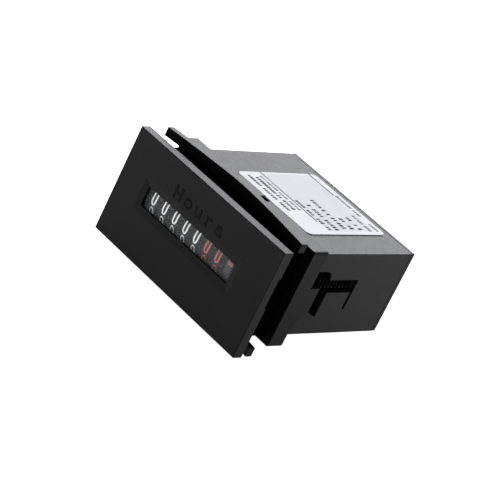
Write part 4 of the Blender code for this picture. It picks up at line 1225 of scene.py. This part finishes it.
@dataclass(frozen=True)
class Softbox:
    """A rectangular soft light that faces the instrument.

    Attributes:
        name: The light's name.
        away: Direction from the instrument to the light.
        distance: How far off it is, in metres.
        size: Its width and height, in metres.
        power: Its power in watts.
        tint: Its colour.
    """

    name: str
    away: Point3
    distance: float
    size: Point
    power: float
    tint: Point3 = ONES

    def build(self, aim: Vector) -> None:
        """Makes the light, turned to a point."""
        data = bpy.data.lights.new(self.name, "AREA")
        data.shape = "RECTANGLE"
        data.size, data.size_y = self.size
        data.energy = self.power
        data.color = self.tint
        made = add_object(self.name, data)
        direction = Vector(self.away).normalized()
        made.location = aim + direction * self.distance
        made.rotation_mode = "QUATERNION"
        made.rotation_quaternion = direction.to_track_quat("Z", "Y")


SOFTBOXES = (
    Softbox("rear_softbox", (-0.556, 0.744, 0.371), 0.9, (0.9, 0.5), 14.2, (0.96, 0.965, 1.0)),
    Softbox("front_softbox", (-0.25, -0.8, 0.9), 1.0, (0.7, 0.7), 4.4),
)


@dataclass
class Studio:
    """Floor, light and the camera at the photograph's angle.

    Attributes:
        place: Instrument coordinates.
        lens: The camera's focal length in millimetres.
        sensor: Its sensor's width in millimetres.
        clip: The nearest and farthest distance that it sees.
        eye: Its place in instrument coordinates.
        right: The picture's right, as a direction.
        down: The picture's lower side.
        ahead: Where it looks.
        aim: The point that the lights face, in instrument coordinates.
        floor_half: Half the floor's side.
        floor_gap: How far the floor lies below the instrument.
        surround: Strength of the even light from all round.
    """

    place: Placement
    lens: float = 159.19
    sensor: float = 36.0
    clip: Point = (0.01, 20.0)
    eye: Point3 = (289.063 * MM, -362.965 * MM, 190.037 * MM)
    right: Point3 = (0.61733066, 0.6686824, 0.41444747)
    down: Point3 = (0.55625642, 0.00151875, -0.83100932)
    ahead: Point3 = (-0.55631074, 0.7435466, -0.37102131)
    aim: Point3 = (0.0, 25 * MM, 0.0)
    floor_half: float = 6.0
    floor_gap: float = 0.1 * MM
    surround: float = 0.75

    def camera(self) -> None:
        """Makes the camera and gives it to the scene."""
        data = bpy.data.cameras.new("camera")
        data.lens = self.lens
        data.sensor_width = self.sensor
        data.clip_start, data.clip_end = self.clip
        made = add_object("camera", data)
        up, back = [-v for v in self.down], [-v for v in self.ahead]
        turn = Matrix((self.right, up, back)).transposed().to_4x4()
        made.matrix_world = Matrix.Translation(self.place.point(*self.eye)) @ turn
        bpy.context.scene.camera = made

    def floor(self) -> None:
        """A wide pale floor just under the instrument."""
        writer = MeshWriter()
        half = self.floor_half
        writer.polygon([Vector((u * half, v * half, -self.floor_gap)) for u, v in CORNERS])
        writer.build("studio_floor", FLOOR)

    def world(self) -> None:
        """An even pale surround."""
        made = bpy.data.worlds.new("studio")
        made.use_nodes = True
        feed(made.node_tree.nodes["Background"], {"Color": WHITE, "Strength": self.surround})
        bpy.context.scene.world = made

    def build(self) -> None:
        """Makes the whole studio."""
        self.world()
        self.floor()
        self.camera()
        for softbox in SOFTBOXES:
            softbox.build(self.place.point(*self.aim))
        view = bpy.context.scene.view_settings
        view.view_transform = "Standard"
        view.look = "None"


def main() -> None:
    """Builds the scene on the fixed frame."""
    logging.basicConfig(level=logging.INFO, format="%(name)s: %(message)s")
    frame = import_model()
    place = Placement.of_frame()
    LOG.info("front face at y %.4f, bezel middle at z %.4f", place.front, place.middle)
    SolidDress(frame["nodes"]).build()
    for number in range(1, WHEELS + 1):
        ink = WHITE_PRINT if number <= WHITE_WHEELS else RED_PRINT
        name = f"number_wheel_{number}"
        DigitWheel(name, name + "_body", ink).build()
    Indicator("indicator_wheel", "indicator_body", INDICATOR_PRINT).build()
    BezelWord(place).build()
    LabelPrint(place).build()
    CoilTurns().build()
    BoardDetails().build()
    Studio(place).build()
    bpy.context.view_layer.update()


if __name__ == "__main__":
    main()
